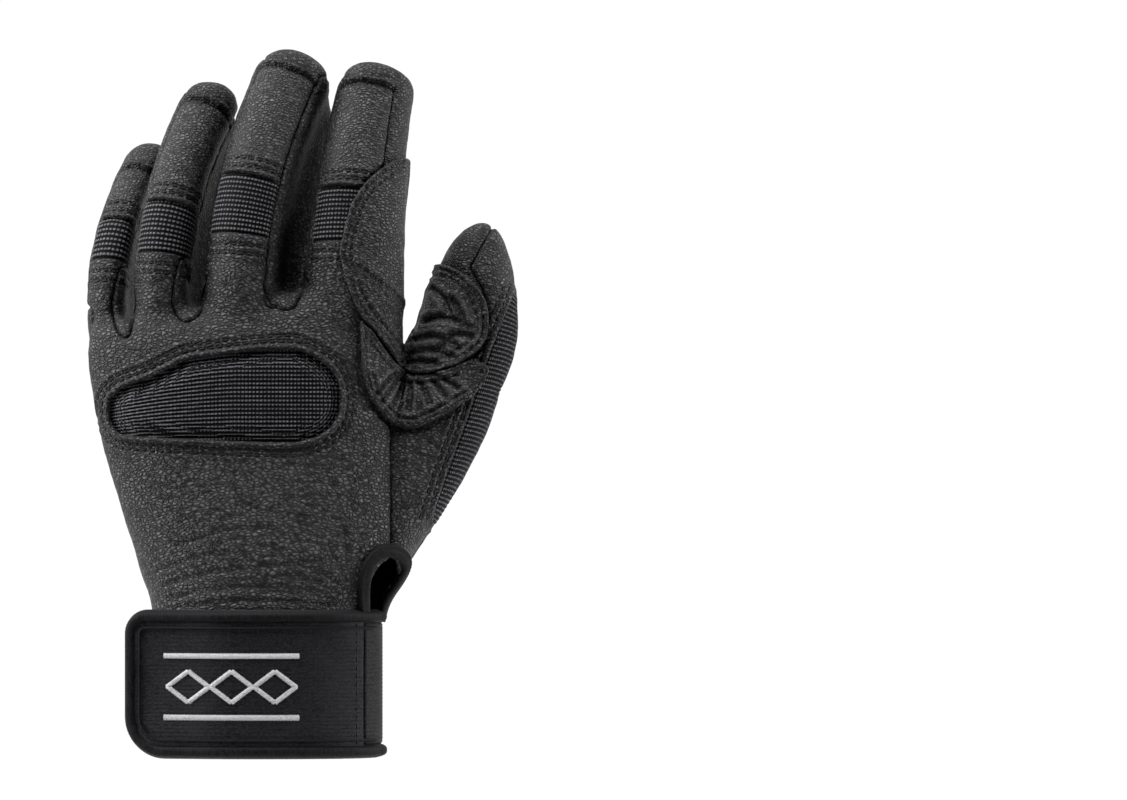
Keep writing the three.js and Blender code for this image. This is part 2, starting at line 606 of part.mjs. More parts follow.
// The strap's line round the front of the cuff, `out` above the leather, then straight to its end
function strapLine(out) {
  const row = CUFF_ROWS[0];
  const power = 2 / row.square;
  const along = [...Array(STRAP_STEPS + 1).keys()].map((i) => {
    const turned = mix(STRAP_RIGHT_DEGREES, STRAP_LEFT_DEGREES, i / STRAP_STEPS);
    const angle = THREE.MathUtils.degToRad(turned);
    const s = Math.sin(angle);
    const reach = (s > 0 ? row.right : row.left) * CUFF_WIDTH + out;
    return new THREE.Vector2(
      Math.sign(s) * Math.abs(s) ** power * reach,
      -(Math.cos(angle) ** power) * (row.back * CUFF_DEPTH + out),
    );
  });
  const end = along.at(-1);
  const before = along.at(-2);
  const slope = (end.y - before.y) / (end.x - before.x);
  along.push(new THREE.Vector2(-TAB_OVERHANG, end.y + slope * (-TAB_OVERHANG - end.x)));
  return along;
}

// A band of the strap between two heights above the leather
function strapBand(low, high) {
  const shape = new THREE.Shape([...strapLine(high), ...strapLine(low).reverse()]);
  const geometry = new THREE.ExtrudeGeometry(shape, { depth: STRAP_HEIGHT, bevelEnabled: false });
  return fromGeometry(geometry);
}

// The tab's outline, seen from the back, a distance inside its edge
function tabOutline(inset) {
  const left = -TAB_OVERHANG + inset;
  const arc = (z, corner, turn) => [...Array(5).keys()].map((i) => {
    const angle = Math.PI * (turn + i / 8);
    const reach = corner - inset;
    return { x: left + reach + reach * Math.cos(angle), z: z + reach * Math.sin(angle) };
  });
  return [
    ...arc(STRAP_HEIGHT - TAB_TOP_CORNER, TAB_TOP_CORNER, 0.5), ...arc(TAB_LOW_CORNER, TAB_LOW_CORNER, 1),
    { x: FAR, z: inset }, { x: FAR, z: STRAP_HEIGHT - inset },
  ];
}
const panelOutline = tabOutline(BINDING_WIDTH + GAP);
const rightOfTab = box(WEB_OUT - GAP, FAR, -FAR, FAR);
addPiece('strap_binding', strapBand(GAP, GAP + BINDING_WALL)
  .intersect(prism(tabOutline(0), -FAR, FAR))
  .subtract(prism(tabOutline(BINDING_WIDTH), -FAR, FAR)), TAPE);
addPiece('strap_tab', strapBand(GAP, GAP + TAB_WALL)
  .intersect(prism(panelOutline, -FAR, FAR))
  .subtract(prism(rightOfTab, -FAR, FAR)), WEBBING);

// The elastic web, from the tab's right edge round the thumb side and the palm to the other side
const cuffRing = (out, z) => {
  const row = CUFF_ROWS[0];
  const reach = {
    left: row.left * CUFF_WIDTH, right: row.right * CUFF_WIDTH,
    back: row.back * CUFF_DEPTH, front: row.front * CUFF_DEPTH,
  };
  return ring(UPRIGHT(z), shrunk(reach, -out), row.square, PALM_SIDES);
};
const webTube = (out, more) => loft([
  cuffRing(out, BINDING_WIDTH + GAP - more), cuffRing(out, STRAP_HEIGHT - BINDING_WIDTH - GAP + more),
]);
const underTab = box(-FAR, WEB_OUT, -FAR, FAR);
addPiece('strap_elastic', webTube(GAP + ELASTIC_WALL, 0).subtract(webTube(GAP, 1))
  .subtract(prism(underTab, -FAR, WEB_END)), WEBBING);

const glove = new THREE.Group();
glove.name = 'climbing_glove';
glove.add(...meshes);
export default glove;
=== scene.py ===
import functools
import math

import bmesh
import bpy
import numpy as np
from mathutils import Matrix, Vector, noise
from mathutils.bvhtree import BVHTree
from mathutils.kdtree import KDTree


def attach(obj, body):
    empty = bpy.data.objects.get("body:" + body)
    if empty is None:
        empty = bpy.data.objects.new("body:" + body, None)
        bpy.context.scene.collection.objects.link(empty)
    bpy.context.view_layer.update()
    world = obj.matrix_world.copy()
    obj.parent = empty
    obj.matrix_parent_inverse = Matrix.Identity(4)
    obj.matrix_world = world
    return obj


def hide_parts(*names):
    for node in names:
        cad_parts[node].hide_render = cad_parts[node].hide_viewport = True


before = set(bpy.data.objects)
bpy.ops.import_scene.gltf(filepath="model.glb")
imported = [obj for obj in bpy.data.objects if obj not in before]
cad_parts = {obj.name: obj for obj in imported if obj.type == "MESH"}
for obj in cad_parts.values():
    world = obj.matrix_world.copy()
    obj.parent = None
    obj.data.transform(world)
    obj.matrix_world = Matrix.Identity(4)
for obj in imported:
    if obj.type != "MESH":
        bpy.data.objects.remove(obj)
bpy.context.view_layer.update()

MM = 0.001

# View: 3 pixels to a millimetre, glove at the left of a 1127 by 800 picture
VIEW_CENTRE = (101.5 * MM, 119.0 * MM)
VIEW_WIDTH = 1127 / 3 * MM
VIEW_FAR, VIEW_END = 4.0, 50
SENSOR = 36


def shown(name, data):
    """A new object in the scene, at the origin, that shows some data."""
    made = bpy.data.objects.new(name, data)
    bpy.context.collection.objects.link(made)
    return made


def mesh_of(name, bm):
    """A new mesh with the shape of a bmesh."""
    mesh = bpy.data.meshes.new(name)
    bm.to_mesh(mesh)
    return mesh


def add_camera():
    camera = bpy.data.cameras.new("camera")
    camera.sensor_width = SENSOR
    camera.lens = SENSOR * VIEW_FAR / VIEW_WIDTH
    camera.clip_end = VIEW_END
    place = shown("camera", camera)
    place.location = (VIEW_CENTRE[0], -VIEW_FAR, VIEW_CENTRE[1])
    place.rotation_euler = (math.pi / 2, 0, 0)
    bpy.context.scene.camera = place


add_camera()

# Sizes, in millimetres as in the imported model
CROTCH_HEIGHT, STRAP_HEIGHT = 150, 49.5
THUMB_LENGTH, THUMB_WIDTH, THUMB_DEPTH = 110, 32, 30
# A finger: how much of its tip is rounded, how deep its root is sunk, and the spans for its foot and lean
TIP_ROUNDING, ROOT_SUNK, FOOT_SPAN, LEAN_SPAN = 7, 26, 90, 100
# How thick each kind of piece is, and how far the second layer of leather lies off the first
LEATHER_WALL, PATCH_WALL, CLOTH_WALL, TAB_WALL, ELASTIC_WALL = 1.2, 1.0, 0.8, 2.0, 1.5
PATCH_AIR = 0.3
# How far apart stitches are, and the points of a line before it is laid on the skin
STITCH_PITCH, LINE_STEP = 2.95, 0.5
# How far apart the ribs of the stretch cloth and their loops are, and how high they stand
RIB_PITCH, LOOP_PITCH, RIB_HEIGHT = 1.40, 1.25, 0.22
# How squarely a finger and the thumb are rounded, where 2 is an ellipse
FINGER_SQUARE, THUMB_SQUARE = 2.2, 2.15
# How fine the skin is, how often it is smoothed, and how often the corners between sections are eased
VOXEL = 1.1
SMOOTHING, ROOT_SMOOTHING = 10, 8
PALM_EASING, THUMB_EASING = 60, 40

# Sections of cuff and palm: height, reach to the left, right, back and front, squareness, slant
PALM_ROWS = np.array([
    (-4.0, 34.8, 39.2, 26.0, 26.0, 2.3, 0.00),
    (50.0, 34.8, 39.2, 26.0, 26.0, 2.3, 0.00),
    (59.5, 38.9, 48.1, 25.1, 26.0, 2.3, 0.00),
    (69.6, 41.8, 51.7, 24.6, 27.0, 2.3, 0.00),
    (85.7, 47.0, 50.4, 23.5, 27.5, 2.3, 0.00),
    (101.8, 51.7, 48.5, 22.0, 26.4, 2.4, 0.00),
    (118.8, 55.3, 47.3, 20.0, 23.5, 2.5, 0.00),
    (133.9, 56.8, 47.0, 17.6, 19.4, 2.6, 0.06),
    (147.0, 57.3, 46.5, 14.5, 15.5, 2.8, 0.13),
    (152.5, 55.6, 44.6, 8.8, 9.7, 2.8, 0.15),
])

# Fingers: root and its bend over LEAN_SPAN, reach at root and tip, how much fuller the front is on
# the thumb's side, the back piece's rises and its seams in degrees
FINGERS = {
    "little": dict(x=-49.0, y=8.8, lean=55.6, curl=114.4, length=52, left=(9.0, 9.7), right=(4.7, 3.2),
                   half=(11.0, 9.7), full=(5, 3), base=13.0, fold=24.4, cap=40.0, seams=(-72, 62)),
    "ring": dict(x=-32.4, y=1.3, lean=36.8, curl=55.0, length=72.5, left=(9.3, 11.2), right=(9.3, 8.4),
                 half=(12.3, 11.0), full=(12, 6.5), base=16.0, fold=31.2, cap=62.4, seams=(-72, 74)),
    "middle": dict(x=-5.7, y=-1.8, lean=29.4, curl=41.8, length=83, left=(12.6, 13.1), right=(12.6, 12.2),
                   half=(12.8, 11.4), full=(17.5, 10.5), base=22.0, fold=39.8, cap=73.5, seams=(-74, 40)),
    "index": dict(x=30.6, y=-0.9, lean=12.1, curl=39.6, length=80, left=(16.2, 10.4), right=(16.8, 14.5),
                  half=(13.2, 11.4), full=(0, 0), base=20.0, fold=36.4, cap=69.6, seams=(-70, 40)),
}
# Where along a finger its front is fuller, from and to, in shares of its length
FULL_SPAN = (0.2, 0.9)

# Sections of the thumb, in shares of its width, depth and length from the strap up
THUMB_ROWS = np.array([THUMB_WIDTH] * 2 + [THUMB_LENGTH] + [THUMB_WIDTH] * 2 + [THUMB_DEPTH] * 2) * [
    (1.16, 0.12, 0.17, 0.44, 0.40, 0.62, 0.66),
    (1.44, 0.15, 0.315, 0.55, 0.45, 0.62, 0.66),
    (1.69, 0.18, 0.46, 0.62, 0.50, 0.60, 0.63),
    (1.89, 0.22, 0.587, 0.62, 0.515, 0.56, 0.58),
    (2.05, 0.25, 0.705, 0.60, 0.49, 0.52, 0.54),
    (2.17, 0.28, 0.805, 0.52, 0.51, 0.49, 0.50),
    (2.215, 0.30, 0.886, 0.50, 0.50, 0.48, 0.48),
    (2.26, 0.28, 1.024, 0.395, 0.40, 0.42, 0.42),
    (2.30, 0.27, 1.083, 0.32, 0.33, 0.37, 0.37),
    (2.35, 0.26, 1.13, 0.23, 0.23, 0.28, 0.28),
    (2.39, 0.25, 1.16, 0.12, 0.12, 0.16, 0.16),
    (2.41, 0.25, 1.17, 0.01, 0.01, 0.01, 0.01),
]


def unit(v):
    """Vectors brought to length 1."""
    return v / np.maximum(np.linalg.norm(v, axis=-1, keepdims=True), 1e-12)


def smoothstep(x):
    """A soft step from 0 to 1 as x goes from 0 to 1."""
    x = np.clip(x, 0, 1)
    return x * x * (3 - 2 * x)


def hump(far, wide, at=0.0):
    """A smooth hump, 1 high where far is at, that fades over so many millimetres to each side."""
    return np.exp(-((far - at) / wide) ** 2)


def least(*values):
    """The least of several fields at each point."""
    return functools.reduce(np.minimum, values)


def between(values, low, high):
    """How far inside two bounds each value is, less than 0 outside them."""
    return np.minimum(values - low, high - values)


def sheet(across, along, place, closed=False, capped=False):
    """A grid with each corner where place(u, v) puts it, in millimetres; u and v run from 0 to 1."""
    bm = bmesh.new()
    bmesh.ops.create_grid(bm, x_segments=across, y_segments=along, size=0.5)
    flat = np.array([v.co for v in bm.verts])
    for vert, co in zip(bm.verts, place(flat[:, 0] + 0.5, flat[:, 1] + 0.5) * MM):
        vert.co = co
    if closed:
        bmesh.ops.remove_doubles(bm, verts=bm.verts, dist=1e-6)
    if capped:
        bmesh.ops.holes_fill(bm, edges=[e for e in bm.edges if e.is_boundary])
    bmesh.ops.recalc_face_normals(bm, faces=bm.faces)
    return bm


def facing(bm, outward):
    """Turns an open sheet's faces so that they look the way that outward(place) says."""
    bm.normal_update()
    if sum(f.normal.dot(Vector(outward(f.calc_center_median()))) * f.calc_area() for f in bm.faces) < 0:
        bmesh.ops.reverse_faces(bm, faces=bm.faces)
    return bm


def section(u, square, left, right, back, front):
    """Reach across and out of a rounded box at turn u."""
    s, c = np.sin(2 * np.pi * u), np.cos(2 * np.pi * u)
    across = np.sign(s) * np.abs(s) ** (2 / square) * np.where(s > 0, right, left)
    out = np.sign(c) * np.abs(c) ** (2 / square) * np.where(c > 0, back, front)
    return across, out


def eased(table, at, passes):
    """A table's columns at some rows, with its corners rounded off."""
    steps = np.linspace(0, len(table) - 1, 160)
    fine = np.stack([np.interp(steps, np.arange(len(table)), column) for column in table.T], axis=1)
    for _ in range(passes):
        fine[1:-1] = (fine[:-2] + fine[1:-1] * 2 + fine[2:]) / 4
    return np.stack([np.interp(at, steps, column) for column in fine.T], axis=1)


def palm_place(u, v):
    """The palm and cuff, once round at each u and up to the crotches at each v."""
    z, left, right, back, front, square, slant = eased(PALM_ROWS, v * (len(PALM_ROWS) - 1), PALM_EASING).T
    across, out = section(u, square, left, right, back, front)
    return np.stack([across, -out, z + slant * across], axis=1)


def path(one, rise):
    """The middle of a finger at some rises over the crotch; it leans and curls more towards the tip."""
    bend = (np.maximum(rise, 0) / LEAN_SPAN) ** 2
    return np.stack(
        [one["x"] + one["lean"] * bend, one["y"] + one["curl"] * bend, CROTCH_HEIGHT + rise], axis=-1)


def frames(one, rise):
    """Centre of a finger's section, the way along it, its right and its back."""
    along = unit(path(one, rise + 0.5) - path(one, rise - 0.5))
    back = unit(along * along[..., 1:2] - np.array([0, 1, 0]))
    return path(one, rise), along, np.cross(along, back), back


def reach(one, rise):
    """How far a finger goes to its left, to its right and each way in depth."""
    share = np.clip(rise / one["length"], 0, 1)
    round_off = np.clip(1 - (one["length"] - rise) / TIP_ROUNDING, 0, 1) ** 2.2
    scale = (1 + np.minimum(rise, 0) / FOOT_SPAN) * np.sqrt(1 - round_off)
    left, right, half = [(a + (b - a) * share) * scale for a, b in (one["left"], one["right"], one["half"])]
    return left, right, half


def finger_place(one):
    """One finger from its root inside the palm to its rounded tip."""
    def place(u, v):
        rise = -ROOT_SUNK + (one["length"] + ROOT_SUNK) * (1 - (1 - v) ** 1.6)
        centre, _, right, back = frames(one, rise)
        reach_left, reach_right, half = reach(one, rise)
        across, out = section(u, FINGER_SQUARE, reach_left, reach_right, half, half)
        share = rise / one["length"]
        fuller = np.interp(share, FULL_SPAN, one["full"]) * (1 - smoothstep((share - 0.86) / 0.12))
        fuller = fuller * smoothstep(-out / np.maximum(half, 0.5))
        across = across + fuller * np.clip(2 * across / np.maximum(reach_right, 0.5), 0, 1)
        return centre + right * across[:, None] + back * out[:, None]
    return place


def thumb_place(u, v):
    """The thumb from the strap to its tip, each section square to the way it runs."""
    rows, ahead, behind = (eased(THUMB_ROWS, at * (len(THUMB_ROWS) - 1), THUMB_EASING)
                           for at in (v, np.minimum(v + 0.02, 1), np.maximum(v - 0.02, 0)))
    along = unit(ahead[:, :3] - behind[:, :3])
    back = unit(along * along[:, 1:2] - np.array([0, 1, 0]))
    across, out = section(u, THUMB_SQUARE, *rows[:, 3:].T)
    centre = rows[:, :3] + np.array([0, 0, STRAP_HEIGHT])
    return centre + np.cross(along, back) * across[:, None] + back * out[:, None]


def smoothed(bm, verts, times):
    """Smooths some corners a number of times."""
    for _ in range(times):
        bmesh.ops.smooth_vert(bm, verts=verts, factor=0.5, use_axis_x=True, use_axis_y=True, use_axis_z=True)


def hand_form():
    """The glove's outside as one skin: palm, fingers and thumb melted together, open at the cuff."""
    bm = bmesh.new()
    parts = [sheet(64, 90, palm_place, True, True), sheet(40, 70, thumb_place, True, True)]
    parts += [sheet(40, 90, finger_place(one), True, True) for one in FINGERS.values()]
    for part in parts:
        bm.from_mesh(mesh_of("part", part))
    lump = shown("form", mesh_of("form", bm))
    melt = lump.modifiers.new("melt", "REMESH")
    melt.mode, melt.voxel_size = "VOXEL", VOXEL * MM
    skin = bmesh.new()
    skin.from_object(lump, bpy.context.evaluated_depsgraph_get())
    bpy.data.objects.remove(lump)
    smoothed(skin, skin.verts, SMOOTHING)
    # The finger roots meet in sharp valleys, so they are smoothed more
    roots = [v for v in skin.verts if 136 * MM < v.co.z < 160 * MM and v.co.x < 48 * MM]
    smoothed(skin, roots, ROOT_SMOOTHING)
    bmesh.ops.bisect_plane(skin, geom=skin.verts[:] + skin.edges[:] + skin.faces[:], plane_co=(0, 0, 0),
                           plane_no=(0, 0, 1), clear_inner=True)
    return skin


# Regions, seen from the back of the hand: points across and up in millimetres
WINDOW = [
    (-49.3, 115), (-49, 119), (-46.3, 122), (-43, 123.7), (-36.3, 126), (-29.7, 129.3),
    (-23, 132.3), (-16.3, 133.3), (-3, 135), (8.7, 135.7), (13.7, 135.3), (18.7, 133.3),
    (23, 130.3), (26, 126.3), (27.3, 121.7), (27.3, 117.3), (26.3, 113.3), (23.7, 109.7),
    (19.7, 107), (15.3, 105.7), (8.7, 105), (-19.7, 106), (-43, 107.3), (-47, 109), (-49, 111.7),
]
HOLE = [
    (37.3, 39), (37.3, 55.7), (38, 59.7), (39.7, 63), (42, 65.3), (44, 66.3), (46, 66), (47, 63.7),
    (47, 59.7), (45.7, 55.3), (43.3, 50.7), (40.3, 39),
]
HOLE_TAPE = [
    (35, 45), (35, 50.3), (35, 55.7), (35.7, 61), (37.3, 65.3), (40.3, 68.3), (43.7, 69.3),
    (46.7, 68.3), (48.7, 65.7), (48.7, 61.3), (47, 55.7), (44.7, 50.3), (42.3, 45),
]
FORKS = {
    ("little", "ring"): [
    (-42.7, 169.7), (-45.7, 165), (-47.3, 159), (-48.7, 152.3), (-48.7, 148.3), (-47, 142.3),
    (-44.7, 140), (-42.7, 141.3), (-41.7, 149), (-41.3, 155.7),
],
    ("ring", "middle"): [
    (-25, 167.3), (-27.3, 160.7), (-28.3, 151.3), (-27.3, 148), (-25.3, 145.7), (-22.7, 145.7),
    (-20, 147.7), (-18.7, 152.3), (-18.3, 157.3),
],
    ("middle", "index"): [
    (2, 162.3), (2.3, 157.3), (3.7, 152.7), (5.7, 150.3), (8.3, 149.3), (10.7, 149.3), (12.7, 151),
    (14, 155), (14.7, 160.7),
],
}
THUMB_RING = [
    (46, 129.7), (50.3, 139), (52.3, 149), (52.3, 232.3), (180.3, 232.3), (180.3, 122.3),
    (46, 122.3),
]
THUMB_SEAM = [
    (46, 129.7), (53.7, 126.3), (63.7, 128.3), (74.3, 135.7), (77.3, 145.7), (75, 155.7),
    (70.3, 163), (74.3, 170.7), (79, 178.3), (80.3, 232.3), (52.3, 232.3), (52.3, 149),
    (50.3, 139),
]
STRETCH_EDGE = [
    (57, 70.7), (58.3, 80), (61.3, 90), (65.3, 101.3), (69.7, 113.3), (73.7, 125), (77.3, 135),
    (81.3, 145), (84.7, 153.3), (85.7, 155.7), (180.3, 155.7), (180.3, 70.7),
]
INDEX_PATCH = [
    (47, 128.7), (42.7, 135.7), (37, 143.3), (34.3, 147), (32.3, 150.7), (30.3, 155.7),
    (28.7, 160.7), (27.7, 165), (27.3, 168.3), (28, 172.3), (30.3, 181.7), (32, 185.7),
    (35.7, 191.3), (42, 197), (47, 199.7), (50.7, 199), (57, 198), (57, 165.7), (52.3, 142.3),
    (50, 134),
]
WEB_PATCH = [
    (47, 128.7), (40.3, 138), (34.3, 146.3), (34, 139), (34, 132.3), (34.7, 126.3), (36.3, 120.7),
    (39, 116.3), (42.3, 112.3), (46, 110), (49.7, 109.3), (53.7, 109.7), (60.3, 113),
    (67.7, 117.7), (72.3, 121.7), (76.3, 129.7), (70.3, 132.3), (63.7, 129.7), (55, 127.3),
]
THUMB_PATCH = [
    (46.7, 129.3), (53.7, 127.3), (63.7, 129.7), (71, 134), (74.3, 137.3), (76, 141.7),
    (76.3, 146.3), (75.7, 150.7), (74, 154.7), (71.3, 158.3), (68, 161.3), (64.3, 163.3),
    (60.3, 164), (57, 163.7), (48.7, 163.7), (48.7, 139), (46.7, 133),
]
PATCH_BRANCH = [(28, 165), (32, 163), (35.3, 160.7), (42, 155), (47, 149.7)]
# The side seam's place across and in depth, how far back the hole goes, where the finger fronts are
# parted from their sides in degrees, how high the palm goes, and a field's value well outside
SIDE_SEAM_OUT, PARTING, HOLE_BACK, FRONT_TURN, PALM_TOP, OUTSIDE = 44.5, 2.0, -4.5, 138, 149.8, -9.0


def inside(outline, across, up, margin=3.0):
    """Signed distance into an outline in millimetres, held at the margin on both sides."""
    corners = np.array(outline, dtype=float)
    low, high = corners.min(axis=0) - margin, corners.max(axis=0) + margin
    near = (across > low[0]) & (across < high[0]) & (up > low[1]) & (up < high[1])
    x, z = across[near], up[near]
    best = np.full(len(x), 1e9)
    within = np.zeros(len(x), dtype=bool)
    for (ax, az), (bx, bz) in zip(corners, np.roll(corners, -1, axis=0)):
        share = np.clip(
            ((x - ax) * (bx - ax) + (z - az) * (bz - az)) / ((bx - ax) ** 2 + (bz - az) ** 2), 0, 1)
        best = np.minimum(best, (x - ax - share * (bx - ax)) ** 2 + (z - az - share * (bz - az)) ** 2)
        if az != bz:
            crosses = (az > z) != (bz > z)
            within ^= crosses & (x < (bx - ax) * (z - az) / (bz - az) + ax)
    depth = np.full(len(across), -margin)
    depth[near] = np.clip(np.where(within, 1, -1) * np.sqrt(best), -margin, margin)
    return depth


def spline(a, b, c, d, steps):
    """Points of smooth cubic curves that run from each b to its c, between an a and a d."""
    out = [0.5 * (2 * b + (c - a) * t + (2 * a - 5 * b + 4 * c - d) * t ** 2
                  + (3 * b - a - 3 * c + d) * t ** 3)
           for t in np.arange(steps) / steps]
    return np.stack(out, axis=1).reshape(-1, b.shape[1])


def rounded(points, steps=6):
    """A closed outline through the points with its corners eased."""
    p = np.array(points, dtype=float)
    return spline(np.roll(p, 1, axis=0), p, np.roll(p, -1, axis=0), np.roll(p, -2, axis=0), steps)


def curved(line, steps=6):
    """An open line with its corners eased."""
    p = np.array(line, dtype=float)
    p = np.vstack([2 * p[0] - p[1], p, 2 * p[-1] - p[-2]])
    return np.vstack([spline(p[:-3], p[1:-2], p[2:-1], p[3:], steps), p[-2:-1]])


def finger_places(points):
    """For each point: the rise, turn in degrees and depth share in each finger that is near."""
    places = {}
    for name, one in FINGERS.items():
        steps = np.linspace(-ROOT_SUNK, one["length"] + 2, 70)
        centres, along, right, back = frames(one, steps)
        past = points @ along.T - np.sum(centres * along, axis=1)
        nearest = np.argmin(np.abs(past), axis=1)
        rise = steps[nearest] + past[np.arange(len(points)), nearest]
        centre, _, right, back = frames(one, rise)
        x = np.sum((points - centre) * right, axis=1)
        y = np.sum((points - centre) * back, axis=1)
        reach_left, reach_right, half = reach(one, np.minimum(rise, one["length"] - 3))
        fuller = np.interp(rise / one["length"], FULL_SPAN, one["full"]) * smoothstep(-y / half)
        share = np.hypot(x / np.where(x > 0, reach_right + fuller, reach_left), y / half)
        places[name] = dict(rise=rise, turn=np.degrees(np.arctan2(x, y)), share=share, across=x, out=y)
    return places


def along_skin(at, low, high):
    """How far inside two turns round a finger each point is, in millimetres along its skin."""
    return between(at["turn"], low, high) * np.hypot(at["across"], at["out"]) * math.pi / 180


def fork_ends(left, right):
    """Where the strip between two fingers ends on the back: points on the seams at its two sides."""
    ends = []
    for name, side, rises in ((right, 0, (8, 14, 20)), (left, 1, (20, 14, 8))):
        one = FINGERS[name]
        turn = abs(math.radians(one["seams"][side]))
        for rise in rises:
            at = np.array([float(rise)])
            centre, _, out, _ = frames(one, at)
            far = reach(one, at)[side][0] * min(1, math.sin(turn) ** 0.9) * (1 if side else -1)
            ends.append((centre[0, 0] + out[0, 0] * far, centre[0, 2]))
    return ends


def fields(points):
    """The signed fields that the panels are cut along, in rough millimetres and in the order of the cuts."""
    across, depth, up = points.T
    places = finger_places(points)
    shares = np.stack([places[n]["share"] for n in FINGERS])
    cuts = [("hole", np.minimum(inside(rounded(HOLE, 4), across, up), HOLE_BACK - depth))]
    # The back panel's tabs on the fingers, each finger's two flanks and what is nearest to it
    tabs = np.full(len(points), OUTSIDE)
    flanks, owns = {}, {}
    for i, (name, one) in enumerate(FINGERS.items()):
        at, (seam_left, seam_right) = places[name], one["seams"]
        # A share is the depth into a finger, 1 on its skin: 6 and 10 make it rough millimetres
        to_next = (np.delete(shares, i, axis=0).min(axis=0) - at["share"]) * 6
        own = owns[name] = least(to_next, (1.5 - at["share"]) * 10, up - 140)
        upper = np.minimum(own, along_skin(at, seam_left, seam_right))
        cloth, back, tab = (np.minimum(upper, between(at["rise"], low, high)) for low, high in (
            (one["base"], one["fold"]), (one["fold"], one["cap"]), (-20, one["base"])))
        cuts += [("finger_stretch_" + name, cloth), ("finger_back_" + name, back)]
        tabs = np.maximum(tabs, tab)
        tall = between(at["rise"], 12, one["length"] - 4.5)
        flanks[name] = [least(own, along_skin(at, *turns), tall)
                        for turns in ((-FRONT_TURN, seam_left), (seam_right, FRONT_TURN))]
    for (left, right), outline in FORKS.items():
        foot = inside(rounded(list(outline) + fork_ends(left, right)), across, up)
        flank = np.maximum(flanks[left][1], flanks[right][0])
        cuts.append(("strip_%s_%s" % (left, right), np.maximum(np.minimum(foot, 166 - up), flank)))
    for name, own in owns.items():
        cuts.append(("finger_front_" + name, least(own, places[name]["rise"], -tabs)))
    thumb_side = inside([(SIDE_SEAM_OUT, -5), (200, -5), (200, 129), (SIDE_SEAM_OUT, 129)], across, up)
    stretch = np.vstack([curved(STRETCH_EDGE[:10], 4), STRETCH_EDGE[10:]])
    cuts.append(("thumb_stretch", np.minimum(inside(stretch, across, up), 8 - depth)))
    cuts.append(("thumb_front", inside(THUMB_SEAM, across, up)))
    cuts.append(("thumb_panel", np.maximum(
        inside(THUMB_RING, across, up), np.minimum(thumb_side, PARTING - depth))))
    cuts.append(("knuckle_stretch", np.minimum(inside(rounded(WINDOW, 4), across, up), -depth)))
    cuts.append(("palm_panel", np.minimum(depth - PARTING, PALM_TOP - up)))
    cuts.append(("back_panel", np.full(len(points), -OUTSIDE)))
    return cuts


def positions(bm):
    """Every corner's place, in millimetres."""
    return np.array([v.co for v in bm.verts]) / MM


def neighbours(bm):
    """Every edge as the numbers of its two corners."""
    return np.array([[v.index for v in e.verts] for e in bm.edges])


def averaged(values, ends):
    """For each corner the mean of the values of the corners next to it."""
    total, count = np.zeros(len(values)), np.zeros(len(values))
    for a, b in (ends.T, ends.T[::-1]):
        total += np.bincount(a, values[b], len(values))
        count += np.bincount(a, minlength=len(values))
    return total / np.maximum(count, 1)


def palm_ends_rounded(bm, cuts):
    """Rounds the steps where the strips between the fingers end on the palm side."""
    ends = neighbours(bm)
    share = smoothstep((positions(bm)[:, 1] + 1) / 5)
    out = []
    for name, field in cuts:
        if name.startswith("strip"):
            field = np.clip(field, -4, 4)
            for _ in range(14):
                field = field + share * (averaged(field, ends) - field)
        out.append((name, field))
    return out


class Panels:
    """The hand's skin with one signed field a panel, which it is cut along in turn."""

    def __init__(self, bm, cuts):
        self.bm = bm
        self.names = [name for name, _ in cuts]
        self.values = np.stack([field for _, field in cuts], axis=1)
        self.row = bm.verts.layers.int.new("row")
        self.verts = list(bm.verts)
        for i, vert in enumerate(self.verts):
            vert[self.row] = i

    def free(self, face, cut):
        """Whether no earlier panel takes the face."""
        rows = [v[self.row] for v in face.verts]
        return cut == 0 or (self.values[rows, :cut].min(axis=0) < 0).all()

    def split(self, cut, band=1.9, snap=0.12):
        """Cuts faces along the line where a field is 0; a corner closer to it than snap lies on it."""
        column = self.values[:, cut]
        column[np.abs(column) < snap] = 0
        near = [self.verts[i] for i in np.nonzero(np.abs(column) < band)[0]]
        edges = {e: None for v in near for e in v.link_edges
                 if column[e.verts[0][self.row]] * column[e.verts[1][self.row]] < 0
                 and any(self.free(f, cut) for f in e.link_faces)}
        rows = []
        for edge in edges:
            a, b = edge.verts
            ra, rb = self.values[a[self.row]], self.values[b[self.row]]
            share = ra[cut] / (ra[cut] - rb[cut])
            _, new = bmesh.utils.edge_split(edge, a, share)
            new[self.row] = len(self.verts)
            self.verts.append(new)
            row = ra + (rb - ra) * share
            row[cut] = 0
            rows.append(row)
        if rows:
            self.values = np.vstack([self.values, rows])
        near += self.verts[len(self.verts) - len(rows):]
        for face in {f: None for v in near for f in v.link_faces}:
            on = [v for v in face.verts if self.values[v[self.row], cut] == 0]
            if len(on) == 2 and self.free(face, cut) and not any(
                    on[1] in e.verts and face in e.link_faces for e in on[0].link_edges):
                bmesh.utils.face_split(face, on[0], on[1])

    def labelled(self):
        """Cuts every panel out and writes each face's panel number."""
        for cut in range(len(self.names) - 1):
            self.split(cut)
        label = self.bm.faces.layers.int.new("panel")
        for face in self.bm.faces:
            low = self.values[[v[self.row] for v in face.verts]].min(axis=0)
            face[label] = int(np.argmax(low >= 0))
        return label


